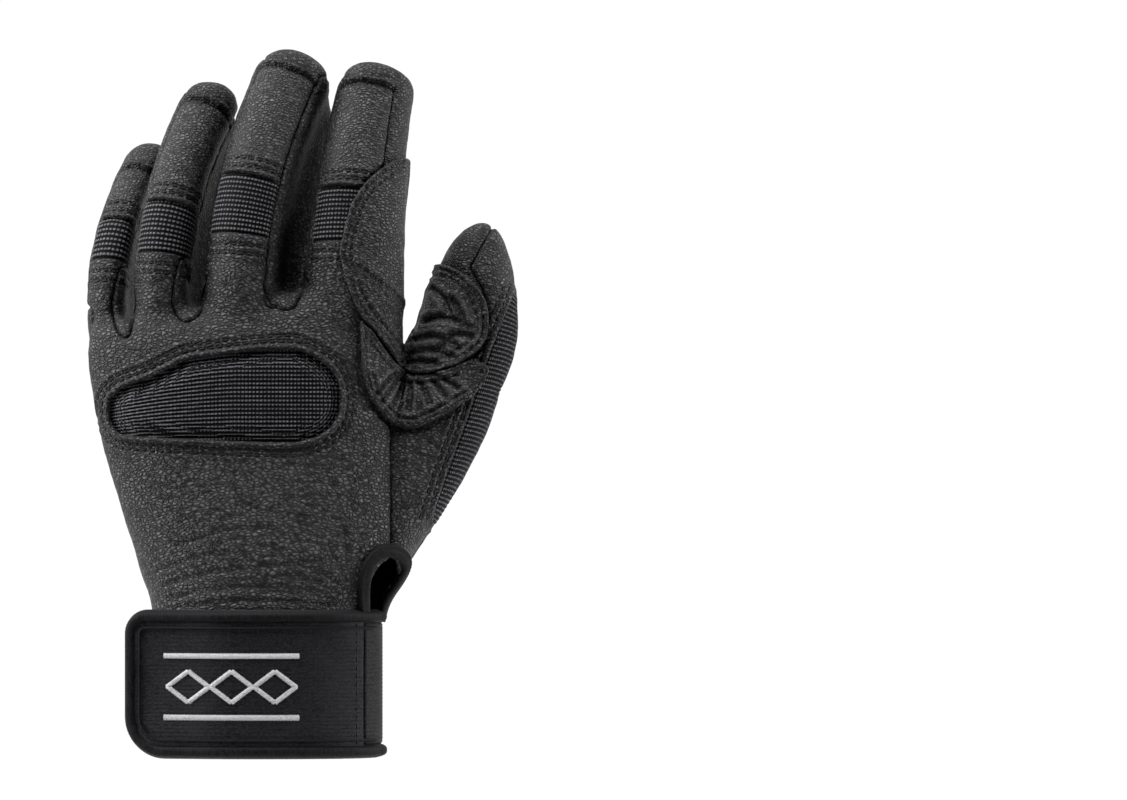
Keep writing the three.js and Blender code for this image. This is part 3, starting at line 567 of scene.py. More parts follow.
# Creases drawn on the back of the hand, as points across and up: depth, width and lines of each group
CREASES = {
    "cuff": (0.30, 0.9, [
        [(31, 53.7), (25.3, 59), (19.7, 62.3), (13.7, 64.3)], [(31.3, 55.7), (27, 64), (23.7, 70.7)],
        [(31.7, 57.7), (29.7, 65.7), (28.7, 75.7)], [(30.3, 51.7), (22, 53.3), (13.7, 55), (3.7, 55.7)],
        [(31, 52.7), (23.7, 56.3), (15.3, 59.7), (7, 60.7)], [(-29.7, 53), (-13, 56.3), (7, 57), (23.7, 55)],
        [(-31.3, 57.3), (-16.3, 61.7), (3.7, 63.7), (19.7, 65.7)],
        [(-26.3, 50.3), (-6.3, 52.3), (13.7, 52), (28.7, 50.7)], [(32.3, 59), (33, 67.3), (34.3, 74)],
        [(-33, 62.3), (-19.7, 67), (-6.3, 68.3)], [(-26.3, 70.7), (-9.7, 75.7), (3.7, 76.3)],
    ]),
    "crotch": (0.80, 0.8, [
        [(47, 127), (46, 122.3), (43.3, 116.3)], [(49.3, 126.7), (51, 121.7), (50.3, 115.3)],
        [(44.7, 127.7), (41.7, 124.7), (38, 120.3)], [(51.7, 127), (55, 123), (57.3, 117.7)],
        [(48.3, 127), (48.7, 123.7), (47.3, 119.3)], [(53.7, 127.7), (58.3, 125), (62.7, 119.7)],
        [(55.7, 128), (61, 126.3), (66.3, 123)], [(46, 127.3), (43.3, 122.7), (40.3, 118.3)],
    ]),
    "thumb": (1.15, 1.1, [
        [(56, 145), (61, 146.3), (66.3, 145.3), (70.3, 143)],
        [(52.3, 138.3), (57.7, 139.7), (62.7, 138.7), (66.3, 136.3)],
        [(49.7, 133), (55.3, 135), (60.3, 134.7), (64.3, 133)], [(48, 130.3), (53.7, 131.7), (59, 131)],
        [(64.3, 152.3), (67, 148.3), (68.3, 143.7)], [(60.3, 135.7), (63, 139), (66.3, 141), (70.3, 140.3)],
        [(59, 155.7), (62.3, 152.3), (63.7, 148.3)],
    ]),
}

# How the leather lies at each kind of edge: height, distance from the edge and width of each swell
SWELLS = {
    "sewn": [(-0.80, 0.0, 0.5), (-0.35, 0.0, 2.4)],
    "rim": [(1.05, 1.0, 0.7), (-0.5, 0.0, 0.4)],
    "fold": [(1.25, 1.0, 0.8), (-0.6, 0.0, 0.4)],
    "band": [(0.35, 1.0, 0.9), (-0.25, 0.0, 0.4)],
    "cap": [(1.20, 1.5, 0.9), (-0.50, 3.1, 0.5), (0.35, 4.0, 0.5), (-0.6, 0.0, 0.5)],
    "under_cap": [(-0.85, 0.0, 0.9)],
    "stitch": [(-0.40, 0.0, 0.6), (0.32, 1.25, 0.5)],
    "piping": [(0.85, 0.8, 0.45), (0.75, 2.0, 0.40), (-0.55, 0.0, 0.35)],
    "lap": [(0.55, 0.9, 0.7), (-0.45, 0.0, 0.35)],
    "under_patch": [(-0.5, 0.4, 0.8)],
}


def swell(kind, far):
    """How high the leather swells at some distances from a kind of edge."""
    return sum(high * hump(far, wide, at) for high, at, wide in SWELLS[kind])


def tree_of(points):
    """The points sorted for a quick search of the nearest one."""
    tree = KDTree(len(points))
    for i, point in enumerate(points):
        tree.insert(point, i)
    tree.balance()
    return tree


def distances(points, samples):
    """From each point to the nearest sample, in millimetres."""
    find = tree_of(samples).find
    return np.array([find(p)[2] for p in points])


def spaced(line, step, closed=False):
    """The same line with its points a step apart."""
    line = np.array(list(line) + ([line[0]] if closed else []), dtype=float)
    run = np.concatenate([[0], np.cumsum(np.linalg.norm(np.diff(line, axis=0), axis=1))])
    count = max(int(round(run[-1] / step)), 1)
    at = np.linspace(0, run[-1], count + 1)
    return np.stack([np.interp(at, run, column) for column in line.T], axis=1)


def inset(outline, distance):
    """A closed outline moved inwards, or outwards where the distance is negative."""
    p = np.array(outline, dtype=float)
    along = unit(np.roll(p, -1, axis=0) - np.roll(p, 1, axis=0))
    area = np.sum(p[:, 0] * np.roll(p[:, 1], -1) - p[:, 1] * np.roll(p[:, 0], -1))
    return p + np.stack([-along[:, 1], along[:, 0]], axis=1) * distance * np.sign(area)


def dashes(rows):
    """Points along each stitch of some rows."""
    out = []
    for row in rows:
        line = spaced(row, STITCH_PITCH)
        for point, way in zip(line, unit(np.gradient(line, axis=0))):
            out += [point - way * 0.6, point, point + way * 0.6]
    return np.array(out)


# A place in front of the back of the hand, and the way from there to it
BEFORE, INWARD = -90.0, (0, 1, 0)


def onto(tree, points, ways):
    """Where rays from the points meet a surface, in millimetres, or None where they miss."""
    hits = []
    for point, way in zip(points, ways):
        hit = tree.ray_cast(Vector(point) * MM, Vector(way))[0]
        hits.append(None if hit is None else np.array(hit) / MM)
    return hits


def on_back(tree, line):
    """The runs of a flat line that lie on the back of the hand."""
    hits = onto(tree, [(x, BEFORE, z) for x, z in line], [INWARD] * len(line))
    runs, run = [], []
    for hit in hits + [None]:
        if hit is None or (run and abs(hit[1] - run[-1][1]) > 3):
            if len(run) > 3:
                runs.append(np.array(run))
            run = [] if hit is None else [hit]
        else:
            run.append(hit)
    return runs


def on_finger(tree, one, rises, turns):
    """Points on a finger's skin at the given rises and turns."""
    rises, turns = np.broadcast_arrays(np.asarray(rises, float), np.asarray(turns, float))
    centre, _, right, back = frames(one, rises)
    t = np.radians(turns)[:, None]
    return onto(tree, centre, right * np.sin(t) + back * np.cos(t))


def stitch_rows(tree):
    """Every double and single row of stitching on the skin, as lines of points."""
    rows = []
    for name, one in FINGERS.items():
        low, high = one["seams"]
        turns = np.linspace(low + 5, high - 4, 60)
        # Two rows above the joint's cloth and two below it
        for rise in (one["fold"] + 2.6, one["fold"] + 4.9, one["base"] - 3.3, one["base"] - 6.0):
            rows.append(np.array(on_finger(tree, one, rise, turns)))
    # Two rows round the window, and two beside the thumb's cloth
    for far in (-2.8, -4.6):
        rows += on_back(tree, spaced(inset(rounded(WINDOW, 4), far), LINE_STEP, True))
    edge = spaced(curved(STRETCH_EDGE[1:10]), LINE_STEP)
    for far in (-2.0, -4.3):
        rows += on_back(tree, edge + np.array([far, 0.3]))
    return [row for row in rows if len(row) > 6]


def patch_rows(tree, name):
    """A second layer's rows of stitching: inside its outline where it is sewn down, and on its branch."""
    outline, insets, sewn_at = {
        "index_patch": (INDEX_PATCH, (1.4, 3.6), lambda p: p[:, 0] < 47),
        "web_patch": (WEB_PATCH, (3.0,), lambda p: (p[:, 1] < 127) & (p[:, 0] < 68)),
        "thumb_patch": (THUMB_PATCH, (1.6, 3.8), lambda p: p[:, 1] > 129),
    }[name]
    rows = []
    for far in insets:
        line = spaced(inset(rounded(outline, 3), far), LINE_STEP, True)
        start = int(np.argmin(sewn_at(line)))
        line = np.roll(line, -start, axis=0)
        for part in np.split(line, np.nonzero(np.diff(sewn_at(line).astype(int)))[0] + 1):
            if len(part) > 8 and sewn_at(part).all():
                rows += on_back(tree, part)
    if name == "index_patch":
        line, across = spaced(curved(PATCH_BRANCH), LINE_STEP), np.array([0.62, 0.78])
        for far in (-1.1, 1.1):
            rows += on_back(tree, line + across * far)
    return rows


def crease_lines(tree, name):
    """A group of creases as depth, width and lines of points on the back of the hand."""
    depth, wide, lines = CREASES[name]
    return depth, wide, [run for line in lines for run in on_back(tree, spaced(curved(line), LINE_STEP))]


def kind_of(a, b):
    """What sort of edge lies between two panels."""
    pair = {a.rsplit("_", 1)[0], b.rsplit("_", 1)[0]}
    if "hole" in (a, b):
        return "bound"
    if "knuckle_stretch" in (a, b):
        return "rim"
    if "thumb_stretch" in (a, b):
        return "band"
    if "finger_stretch" in pair:
        if "finger_back" in pair:
            return "fold"
        return "band" if "back_panel" in (a, b) else "sewn"
    return "cap" if pair == {"finger_back", "finger_front"} else "sewn"


def edges_by_kind(bm, label, names):
    """Points along the panels' edges, sorted by kind."""
    kinds = {}
    for edge in bm.edges:
        faces = edge.link_faces
        if len(faces) == 2 and faces[0][label] != faces[1][label]:
            a, b = (names[f[label]] for f in faces)
            ends = [np.array(v.co) / MM for v in edge.verts]
            kinds.setdefault((kind_of(a, b), a.rsplit("_", 1)[-1]), []).extend(
                [*ends, (ends[0] + ends[1]) / 2])
    out = {}
    for (kind, name), points in kinds.items():
        points = np.array(points)
        if kind == "cap":
            top = finger_places(points)[name]["rise"] > FINGERS[name]["cap"] - 0.6
            out.setdefault("cap", []).append(points[top])
            out.setdefault("sewn", []).append(points[~top])
        else:
            out.setdefault(kind, []).append(points)
    return {kind: np.vstack(parts) for kind, parts in out.items()}


def refined(bm, edges, rows):
    """Halves the faces near edges and rows of stitching, so that folds and stitches have room."""
    by_edge, by_row = tree_of(edges).find, tree_of(rows).find
    faces = [f for f in bm.faces if by_edge(f.calc_center_median() / MM)[2] < 2.0
             or by_row(f.calc_center_median() / MM)[2] < 1.5]
    near = {e: None for f in faces for e in f.edges}
    bmesh.ops.subdivide_edges(bm, edges=list(near), cuts=1, use_grid_fill=True)
    bm.normal_update()


def unevenness(points, scale, stretch=(1, 1, 1), seed=0.0):
    """Soft noise at each point; scale is in millimetres."""
    at = points * np.array(stretch) / scale + seed
    return np.array([noise.noise(p) for p in at])


def moved(bm, heights, shade):
    """Moves each corner along its normal and notes the light painted into its colour: painted shade above 0,
    painted highlight and rubbed wear below 0.
    """
    painted_light_and_wear = bm.verts.layers.float.new("painted_light_and_wear")
    for vert, high, dark in zip(bm.verts, heights, shade):
        vert.co = vert.co + vert.normal * (float(high) * MM)
        vert[painted_light_and_wear] = float(dark)
    bm.verts.index_update()
    bm.verts.ensure_lookup_table()
    ends = neighbours(bm)
    # Where two seams meet, a single point can be pushed out: it is drawn back
    for _ in range(2):
        points = positions(bm)
        calm = np.stack([averaged(points[:, i], ends) for i in range(3)], axis=1)
        for i in np.nonzero(np.linalg.norm(points - calm, axis=1) > 0.45)[0]:
            if not bm.verts[i].is_boundary:
                bm.verts[i].co = Vector(calm[i]) * MM
    bm.normal_update()


def stitched(height, shade, points, rows):
    """Height and shade with rows of stitches sunk in: painted shade at each, painted highlight where the
    leather puffs up round it.
    """
    far = distances(points, dashes(rows))
    dark = hump(far, 0.6) - 0.9 * hump(far, 0.45, 1.3)
    return height + swell("stitch", far), np.maximum(shade, dark) + np.minimum(dark, 0)


def skin_relief(bm, label, names, rows, patch_edges, creases):
    """Heights of seams, folds, rims, rows of stitching and wrinkles on the skin, with the shade painted into
    its colour there.
    """
    points = positions(bm)
    kinds = edges_by_kind(bm, label, names)
    height = np.zeros(len(points))
    shade = np.zeros(len(points))
    owners = [{names[f[label]].rsplit("_", 1)[0] for f in v.link_faces} for v in bm.verts]
    places = finger_places(points)
    aside = np.full(len(points), 99.0)
    for name, one in FINGERS.items():
        at = places[name]
        within = along_skin(at, *one["seams"])
        aside = np.where((at["share"] < 1.3) & (at["rise"] > 5), np.minimum(aside, within), aside)
    middle = 0.25 + 0.75 * smoothstep(aside / 6)
    back = np.array([o == {"finger_back"} for o in owners])
    front = np.array([o == {"finger_front"} for o in owners])
    strip = np.array([any(n.startswith("strip") for n in o) for o in owners])
    # Each edge sinks or swells, and its colour is darkened along it as painted shade
    for kind in ("sewn", "rim", "fold", "band"):
        far = distances(points, kinds[kind])
        height += swell(kind, far) * (~front * middle if kind == "fold" else 1)
        if kind == "sewn":
            height += unevenness(points, 1.7) * 0.30 * hump(far, 1.3, 1.2)
            height += strip * 0.45 * (1 - np.exp(-far / 2.2))
            shade = np.maximum(shade, hump(far, 0.55))
        else:
            shade = np.maximum(shade, 0.7 * hump(far, 0.5))
    # The leather is gathered over each fingertip
    far = distances(points, kinds["cap"])
    gathers = 0.5 + unevenness(points, 0.9, (1, 1, 0.25)) * 1.4
    gathered = swell("cap", far) - gathers * 0.3 * hump(far, 0.6, 0.7)
    height += np.where(back, swell("under_cap", far), gathered * middle)
    # Painted shade at the cap's seam and in a line along its gathered lip
    shade = np.maximum(shade, hump(far, 0.7))
    shade = np.maximum(shade, ~back * 0.6 * hump(far, 0.35, 2.9))
    height, shade = stitched(height, shade, points, rows)
    # Crests of the rims, folds and gathers painted paler: partly rubbed wear, partly painted highlight
    for kind, at, pale in (("rim", 0.9, 0.7), ("fold", 1.1, 0.5), ("cap", 3.9, ~back * 0.8)):
        shade -= pale * hump(distances(points, kinds[kind]), 0.35, at)
    # The skin dips under the second layer's edges, with a painted shadow beside them
    under = distances(points, patch_edges)
    height += swell("under_patch", under)
    shade = np.maximum(shade, 0.9 * hump(under, 0.8))
    # Each crease sinks in and is painted darker along it as painted shade
    for depth, wide, lines in creases:
        far = distances(points, np.vstack(lines))
        height += -depth * hump(far, wide) + 0.4 * depth * hump(far, wide, 2 * wide)
        shade = np.maximum(shade, 0.45 * hump(far, 0.7 * wide))
    height += unevenness(points, 9) * 0.30 + unevenness(points, 3.4, (0.6, 1, 1.5), 7) * 0.12
    moved(bm, height, shade)


def patch_relief(bm, name, rows, creases):
    """Heights of a second layer of leather: its edge, its rows of stitching and its wrinkles, with the shade
    painted into its colour there.
    """
    points = positions(bm)
    rim = np.array([np.array(v.co) / MM for v in bm.verts if v.is_boundary])
    far = distances(points, rim)
    height = PATCH_AIR + PATCH_WALL + swell("piping" if name == "web_patch" else "lap", far)
    # Painted shade along the layer's edge
    shade = 0.8 * hump(far, 0.45)
    if name == "web_patch":
        # Painted shade in the valley between its two cords, and painted highlight, partly rubbed wear, on
        # their crests
        shade = np.maximum(shade, 0.7 * hump(far, 0.3, 1.4))
        shade -= 0.6 * hump(np.abs(far - 1.4), 0.25, 0.6)
    if rows:
        height, shade = stitched(height, shade, points, rows)
    if name == "index_patch":
        # The seam that branches off across the patch, sunk and painted dark as painted shade
        near = distances(points, np.vstack(on_back(BVHTree.FromBMesh(bm), spaced(curved(PATCH_BRANCH), 0.4))))
        height += -0.45 * hump(near, 0.5)
        shade = np.maximum(shade, 0.8 * hump(near, 0.45))
    # Each crease sinks in, painted darker in it as painted shade and paler beside it as painted highlight
    for depth, wide, lines in creases:
        near = distances(points, np.vstack(lines))
        height += -depth * hump(near, wide) + 0.55 * depth * hump(near, wide, 2.2 * wide)
        shade = np.maximum(shade, 0.8 * hump(near, 0.7 * wide))
        shade -= 0.15 * hump(near, 0.7 * wide, 2.0 * wide)
    rough = 0.5 if name == "thumb_patch" else 0.2
    height += unevenness(points, 5.5, seed=3) * rough + unevenness(points, 2.2, seed=11) * 0.25 * rough
    moved(bm, height, shade)


def only(source, number):
    """A copy of a cut skin with just the faces of one panel."""
    bm = source.copy()
    panel = bm.faces.layers.int["panel"]
    bmesh.ops.delete(bm, geom=[f for f in bm.faces if f[panel] != number], context="FACES")
    return bm


def finished(name, bm, material, nodes=(), wall=0.0, inner=None):
    """Turns a bmesh into a piece of the glove that takes the place of the named solids."""
    mesh = mesh_of(name, bm)
    mesh.shade_smooth()
    mesh.materials.append(material)
    piece = shown(name, mesh)
    if wall:
        thick = piece.modifiers.new("wall", "SOLIDIFY")
        thick.thickness = wall * MM
        thick.offset = -1
        if inner:
            mesh.materials.append(inner)
            thick.material_offset = 1
        thick.use_rim = True
    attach(piece, "root")
    if nodes:
        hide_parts(*nodes)
    return piece


def ribbed(across_mm, along_mm, strength=1.0):
    """Height of rib-knit stretch cloth: rows of small loops."""
    ribs = np.cos(2 * np.pi * along_mm / RIB_PITCH)
    loops = np.cos(2 * np.pi * across_mm / LOOP_PITCH)
    return RIB_HEIGHT * (ribs * (0.78 + 0.22 * loops * strength) + 0.25 * loops * strength)


def cloth_on(tree, place, across, along, drop):
    """A grid of stretch cloth that lies just under the skin; drop says how deep at each u and v."""
    def settle(u, v):
        start, way = place(u, v)
        hits = onto(tree, start, way)
        found = [h for h in hits if h is not None]
        out = []
        for hit, (x, y, z) in zip(hits, start):
            if hit is None:
                hit = found[int(np.argmin([abs(f[0] - x) + abs(f[2] - z) for f in found]))]
            out.append(hit)
        out = np.array(out)
        normals = np.array([tree.find_nearest(Vector(p) * MM)[1] for p in out])
        return out + normals * drop(u, v, out)[:, None]
    return facing(sheet(across, along, settle), lambda at: tree.find_nearest(at)[1])


def knuckle_cloth(tree):
    """The cloth in the window over the knuckles."""
    outline = rounded(WINDOW, 4)
    low, high = outline.min(axis=0) - 1.6, outline.max(axis=0) + 1.6
    size = high - low

    def place(u, v):
        at = low + np.stack([u, v], axis=1) * size
        return np.stack([at[:, 0], np.full(len(u), BEFORE), at[:, 1]], axis=1), np.tile(INWARD, (len(u), 1))

    def drop(u, v, points):
        # The ribs fan out towards the little finger, where the cloth is stretched smoother
        x, z = points[:, 0], points[:, 2]
        share = (x - low[0]) / size[0]
        fanned = 0.30 * np.clip(1 - share / 0.55, 0, 1) ** 1.5
        along = (z - low[1]) * (1 + fanned) + 1.5 * np.clip(1 - share / 0.3, 0, 1) ** 2
        within = inside(outline, x, z, 9)
        fuller = smoothstep(share)
        return -1.5 + 1.6 * smoothstep((within + 1.6) / 7) + ribbed(x, along, 0.35 + 0.65 * fuller)
    bm = cloth_on(tree, place, int(size[0] / 0.40), int(size[1] / 0.36), drop)
    at = positions(bm)
    hidden = inside(outline, at[:, 0], at[:, 2], 3) <= -1.5
    bmesh.ops.delete(bm, geom=[v for v, far in zip(bm.verts, hidden) if far], context="VERTS")
    return bm


def finger_cloth(tree, one):
    """The cloth over a finger's middle joint."""
    low, high = one["seams"][0] - 6, one["seams"][1] + 5
    first, last = one["base"] - 1.6, one["fold"] + 1.8
    wide = 0.5 * sum(one["left"]) * math.radians(high - low)

    def place(u, v):
        rises, turns = first + (last - first) * v, np.radians(low + (high - low) * u)[:, None]
        centre, _, right, back = frames(one, rises)
        return centre, right * np.sin(turns) + back * np.cos(turns)

    def drop(u, v, points):
        edge = np.minimum(np.minimum(v, 1 - v) * (last - first), np.minimum(u, 1 - u) * wide)
        return -1.4 + 1.45 * smoothstep(edge / 3.2) + ribbed(u * wide, v * (last - first))
    return cloth_on(tree, place, int(wide / 0.36), int((last - first) / 0.34), drop)


def thumb_cloth(tree):
    """The cloth along the outer edge of the thumb, from the back round to a depth."""
    low, high, deep = 74.5, 159.5, 9.0
    edge = np.array(sorted(STRETCH_EDGE[:10], key=lambda p: p[1]))
    heights = np.linspace(low, high, 60)
    rows = eased(THUMB_ROWS, np.linspace(0, len(THUMB_ROWS) - 1, 200), THUMB_EASING)
    centre = np.stack([np.interp(heights, rows[:, 2] + STRAP_HEIGHT, rows[:, i]) for i in (0, 1)], axis=1)
    x_edge = np.interp(heights, edge[:, 1], edge[:, 0]) - 1.4
    back = onto(tree, np.stack([x_edge, np.full(60, BEFORE), heights], axis=1), np.tile(INWARD, (60, 1)))
    first = [math.atan2(h[1] - c[1], x - c[0]) if h is not None else -0.6
             for h, c, x in zip(back, centre, x_edge)]
    beside = np.stack([np.full(60, 140.0), np.full(60, deep), heights], axis=1)
    front = onto(tree, beside, np.tile([-1, 0, 0], (60, 1)))
    last = [math.atan2(deep - c[1], h[0] - c[0]) if h is not None else 0.6 for h, c in zip(front, centre)]

    def place(u, v):
        z = low + (high - low) * v
        x, y = (np.interp(z, heights, centre[:, i]) for i in (0, 1))
        turn = (1 - u) * np.interp(z, heights, first) + u * np.interp(z, heights, last)
        return np.stack([x, y, z], axis=1), np.stack([np.cos(turn), np.sin(turn), 0 * turn], axis=1)

    def drop(u, v, points):
        at = np.minimum(np.minimum(u, 1 - u) * 26, np.minimum(v, 1 - v) * (high - low))
        return -1.4 + 1.4 * smoothstep(at / 4) + ribbed(u * 27, v * (high - low) + 3 * u)
    return cloth_on(tree, place, 62, int((high - low) / 0.42), drop)


def ribs_shown(bm):
    """Notes how far each corner of the cloth stands out of it; the loops' colour is painted paler there as
    painted highlight and darker in the hollows as painted shade.
    """
    rib = bm.verts.layers.float.new("rib")
    means = [sum((e.other_vert(v).co for e in v.link_edges), Vector()) / max(len(v.link_edges), 1)
             for v in bm.verts]
    bm.normal_update()
    for vert, mean in zip(bm.verts, means):
        vert[rib] = min(max(0.5 + (vert.co - mean).dot(vert.normal) / (0.16 * MM), 0), 1)


# The strap: where its tab ends, the turns round the wrist where its straight part and its thumb side
# begin, how thick its layers are, and the steps of its line and of its tape
TAB_END, TAB_RIGHT_TURN, TAB_STRAIGHT_TURN = -44.0, 84, -26
TAB_TOP_CORNER, TAB_LOW_CORNER = 8.0, 14.0
TAPE_WIDTH, TAPE_THICK, TAB_THICK, ELASTIC_THICK, STRAP_AIR = 5.0, 3.4, 2.4, 1.8, 0.3
STRAP_STEP, TAPE_STEP = 0.25, 0.27
# A web's rows, a tape's ribs, and the share of the way round a tape that its visible face takes
WEB_PITCH, TAPE_RIB, TAPE_FACE = 1.3, 0.85, 0.72


def wrist(turn, off):
    """Points round the cuff, off millimetres outside it; turn 0 is the back, 90 the thumb's side."""
    left, right, depth, _, square = PALM_ROWS[0][1:6]
    across, out = section(
        np.asarray(turn) / 360 % 1, square, left + off, right + off, depth + off, depth + off)
    return np.stack([across, -out], axis=1)


def strap_line(off):
    """The strap's run from its thumb side to the tab's end, off millimetres outside the cuff."""
    line = wrist(np.linspace(TAB_RIGHT_TURN, TAB_STRAIGHT_TURN, 200), off)
    ahead = unit(line[-1] - line[-2])
    far = (line[-1][0] - TAB_END) / -ahead[0]
    return spaced(np.vstack([line, line[-1] + ahead * np.linspace(0.05, 1, 20)[:, None] * far]), STRAP_STEP)


def on_strap(line, run, height):
    """Points at some runs and heights on the strap, and the way out of it."""
    length = np.concatenate([[0], np.cumsum(np.linalg.norm(np.diff(line, axis=0), axis=1))])
    x, y = (np.interp(run, length, line[:, i]) for i in (0, 1))
    along = unit(np.gradient(line, axis=0))
    tx, ty = (np.interp(run, length, along[:, i]) for i in (0, 1))
    points, ways = np.stack([x, y, height], axis=1), np.stack([-ty, tx, 0 * tx], axis=1)
    return points, ways * np.sign(np.sum(points[:, :2] * ways[:, :2], axis=1))[:, None]


def tape_path(length):
    """The tape's middle round the tab: from the thumb side over the top, down and back."""
    half, top, low, start = TAPE_WIDTH / 2, STRAP_HEIGHT, 0.0, -1.2
    a, b = TAB_TOP_CORNER - half, TAB_LOW_CORNER - half
    end = length - half
    corner = np.radians(np.linspace(0, 90, 14))
    over = np.stack([end - a + a * np.sin(corner), top - half - a + a * np.cos(corner)], axis=1)
    under = np.stack([end - b + b * np.cos(corner), low + half + b - b * np.sin(corner)], axis=1)
    return spaced(np.vstack([[(start, top - half)], over, under, [(start, low + half)]]), TAPE_STEP)


def swept(path_points, ways, sides, profile, texture):
    """A band swept along points: profile(u) is how far aside and out its corners lie, texture adds to out."""
    count = len(path_points)

    def place(u, v):
        at = v * (count - 1)
        low = np.minimum(at.astype(int), count - 2)
        share = (at - low)[:, None]
        point, way, side = (a[low] * (1 - share) + a[low + 1] * share for a in (path_points, ways, sides))
        aside, out = profile(u)
        out = out + texture(u, at)
        return point + side * aside[:, None] + way * out[:, None]
    return place


def tape_ribs(high, at):
    """Cross ribs of a grosgrain tape at some steps along it."""
    return high * np.cos(2 * np.pi * at * TAPE_STEP / TAPE_RIB)


def tape_profile(width, thick, piping):
    """A soft half-round tape with a narrow cord along its inner edge."""
    def profile(u):
        top = u < TAPE_FACE
        share = np.where(top, u / TAPE_FACE, (1 - u) / (1 - TAPE_FACE))
        aside = -width / 2 + (width + piping) * share
        over = thick * (1 - np.abs(np.clip(aside / (width / 2), -1, 1)) ** 3.2)
        cord = thick * np.exp(-(np.abs(aside - width / 2 - 0.55 * piping) / (0.34 * piping)) ** 2.6)
        edge = np.minimum(share, 1 - share) * 40
        return aside, np.where(top, np.maximum(over, cord) * np.minimum(1, edge), 0)
    return profile


def strap_tape():
    """The tape round the edge of the tab, with a cord that stops short of the tape's ends."""
    line = strap_line(STRAP_AIR)
    track = tape_path(STRAP_STEP * (len(line) - 1))
    points, ways = on_strap(line, track[:, 0], track[:, 1])
    sides = unit(np.cross(ways, unit(np.gradient(points, axis=0))))
    middle, quarter = np.mean(points, axis=0), len(sides) // 4
    sides = sides * np.sign(np.sum(sides[quarter] * (middle - points[quarter])))

    def ribs(u, at):
        to_end = TAPE_STEP * np.minimum(at, len(points) - 1 - at)
        faded = np.clip(np.minimum(u, TAPE_FACE - u) * 20, 0, 1)
        cord = (u > 0.535) & (u < TAPE_FACE)
        return faded * (tape_ribs(0.10, at) - 3.0 * cord * (1 - smoothstep((to_end - 4) / 6)))
    return sheet(22, len(points) - 1,
                 swept(points, ways, sides, tape_profile(TAPE_WIDTH, TAPE_THICK, 2.0), ribs),
                 closed=True, capped=True)


def web(height):
    """Fine rows of a woven web, one above the other."""
    return 0.06 * np.cos(2 * np.pi * height / WEB_PITCH)


def strap_tab():
    """The closure tab's face inside its tape, a little loose over the back of the wrist."""
    line = strap_line(STRAP_AIR + 0.2)
    # Where the face begins across, and how far its edges lie inside the tape's at the end and above
    across, in_end, in_edge = 33.5, 3.5, 4.2
    first = float(np.interp(-across, -line[:, 0], STRAP_STEP * np.arange(len(line))))
    last = STRAP_STEP * (len(line) - 1) - in_end
    low, high = in_edge, STRAP_HEIGHT - in_edge

    def place(u, v):
        run, height = first + (last - first) * u, low + (high - low) * v
        run = np.where(v < 0.3, np.minimum(run, last - 7 * (1 - v / 0.3) ** 2), run)
        points, ways = on_strap(line, run, height)
        loose = unevenness(points, 14, seed=5) * 0.35
        return points + ways * (TAB_THICK - 0.1 + web(height) + loose)[:, None]
    return facing(sheet(48, 132, place), lambda at: (at.x, at.y, 0))


def strap_elastic():
    """The elastic web, from the tab round the thumb side and the palm side."""
    low, high = 4.6, 45.0
    turns = np.linspace(0, 360, 721)
    ring = wrist(turns, STRAP_AIR)
    start = float(turns[np.argmax((ring[:, 0] > 34) & (ring[:, 1] < 0))])
    stop = float(turns[np.nonzero((ring[:, 0] < -30) & (ring[:, 1] > -17.4))[0][-1]])
    run = spaced(wrist(np.linspace(start, stop, 900), STRAP_AIR + ELASTIC_THICK - 0.1), 1.4)
    reach_right, reach_back = PALM_ROWS[0][2:4]

    def place(u, v):
        height = low + (high - low) * v
        at = u * (len(run) - 1)
        x, y = (np.interp(at, np.arange(len(run)), run[:, i]) for i in (0, 1))
        way = unit(np.stack([x / reach_right ** 2, y / reach_back ** 2], axis=1))
        out = web(height) - 0.5 * np.exp(-np.minimum(height - low, high - height) / 0.5)
        return np.stack([x + way[:, 0] * out, y + way[:, 1] * out, height], axis=1)
    return facing(sheet(len(run) - 1, 126, place), lambda at: (at.x, at.y, 0))


def hole_tape(tree):
    """The ribbed tape round the clip hole, from the strap up over the hole and back down."""
    side, half_width, half_thick, centre = -5.0, 2.3, 1.35, np.array([43.0, -12.0, 56.0])
    points, ways = [], []
    for x, z in spaced(curved(HOLE_TAPE), LINE_STEP):
        hit = onto(tree, [(x, BEFORE, z)], [INWARD])[0]
        if hit is None or hit[1] > side:
            hit = np.array(tree.find_nearest(Vector((x, side, z)) * MM)[0]) / MM
        points.append(hit)
        ways.append(np.array(tree.find_nearest(Vector(hit) * MM)[1]))
    points, ways = np.array(points), np.array(ways)
    for _ in range(12):
        points[1:-1] = (points[:-2] + 2 * points[1:-1] + points[2:]) / 4
        ways[1:-1] = (ways[:-2] + 2 * ways[1:-1] + ways[2:]) / 4
    line = spaced(np.hstack([points, ways]), TAPE_STEP)
    points, ways = line[:, :3], unit(line[:, 3:])
    sides = unit(np.cross(ways, unit(np.gradient(points, axis=0))))
    sides = sides * np.sign(np.sum(sides * (centre - points), axis=1).mean())

    def ribs(u, at):
        return tape_ribs(0.08, at) * np.clip(np.minimum(u, 1 - u) * 8, 0, 1)

    def profile(u):
        turn = 2 * np.pi * u
        aside = half_width * np.sign(np.cos(turn)) * np.abs(np.cos(turn)) ** 0.8
        out = half_thick * np.sin(turn) + 0.5
        return aside, out + 0.35 * hump(aside, 0.5, -1.5) - 0.45 * hump(aside, 0.35, -0.7)
    return sheet(20, len(points) - 1, swept(points, ways, sides, profile, ribs), closed=True, capped=True)


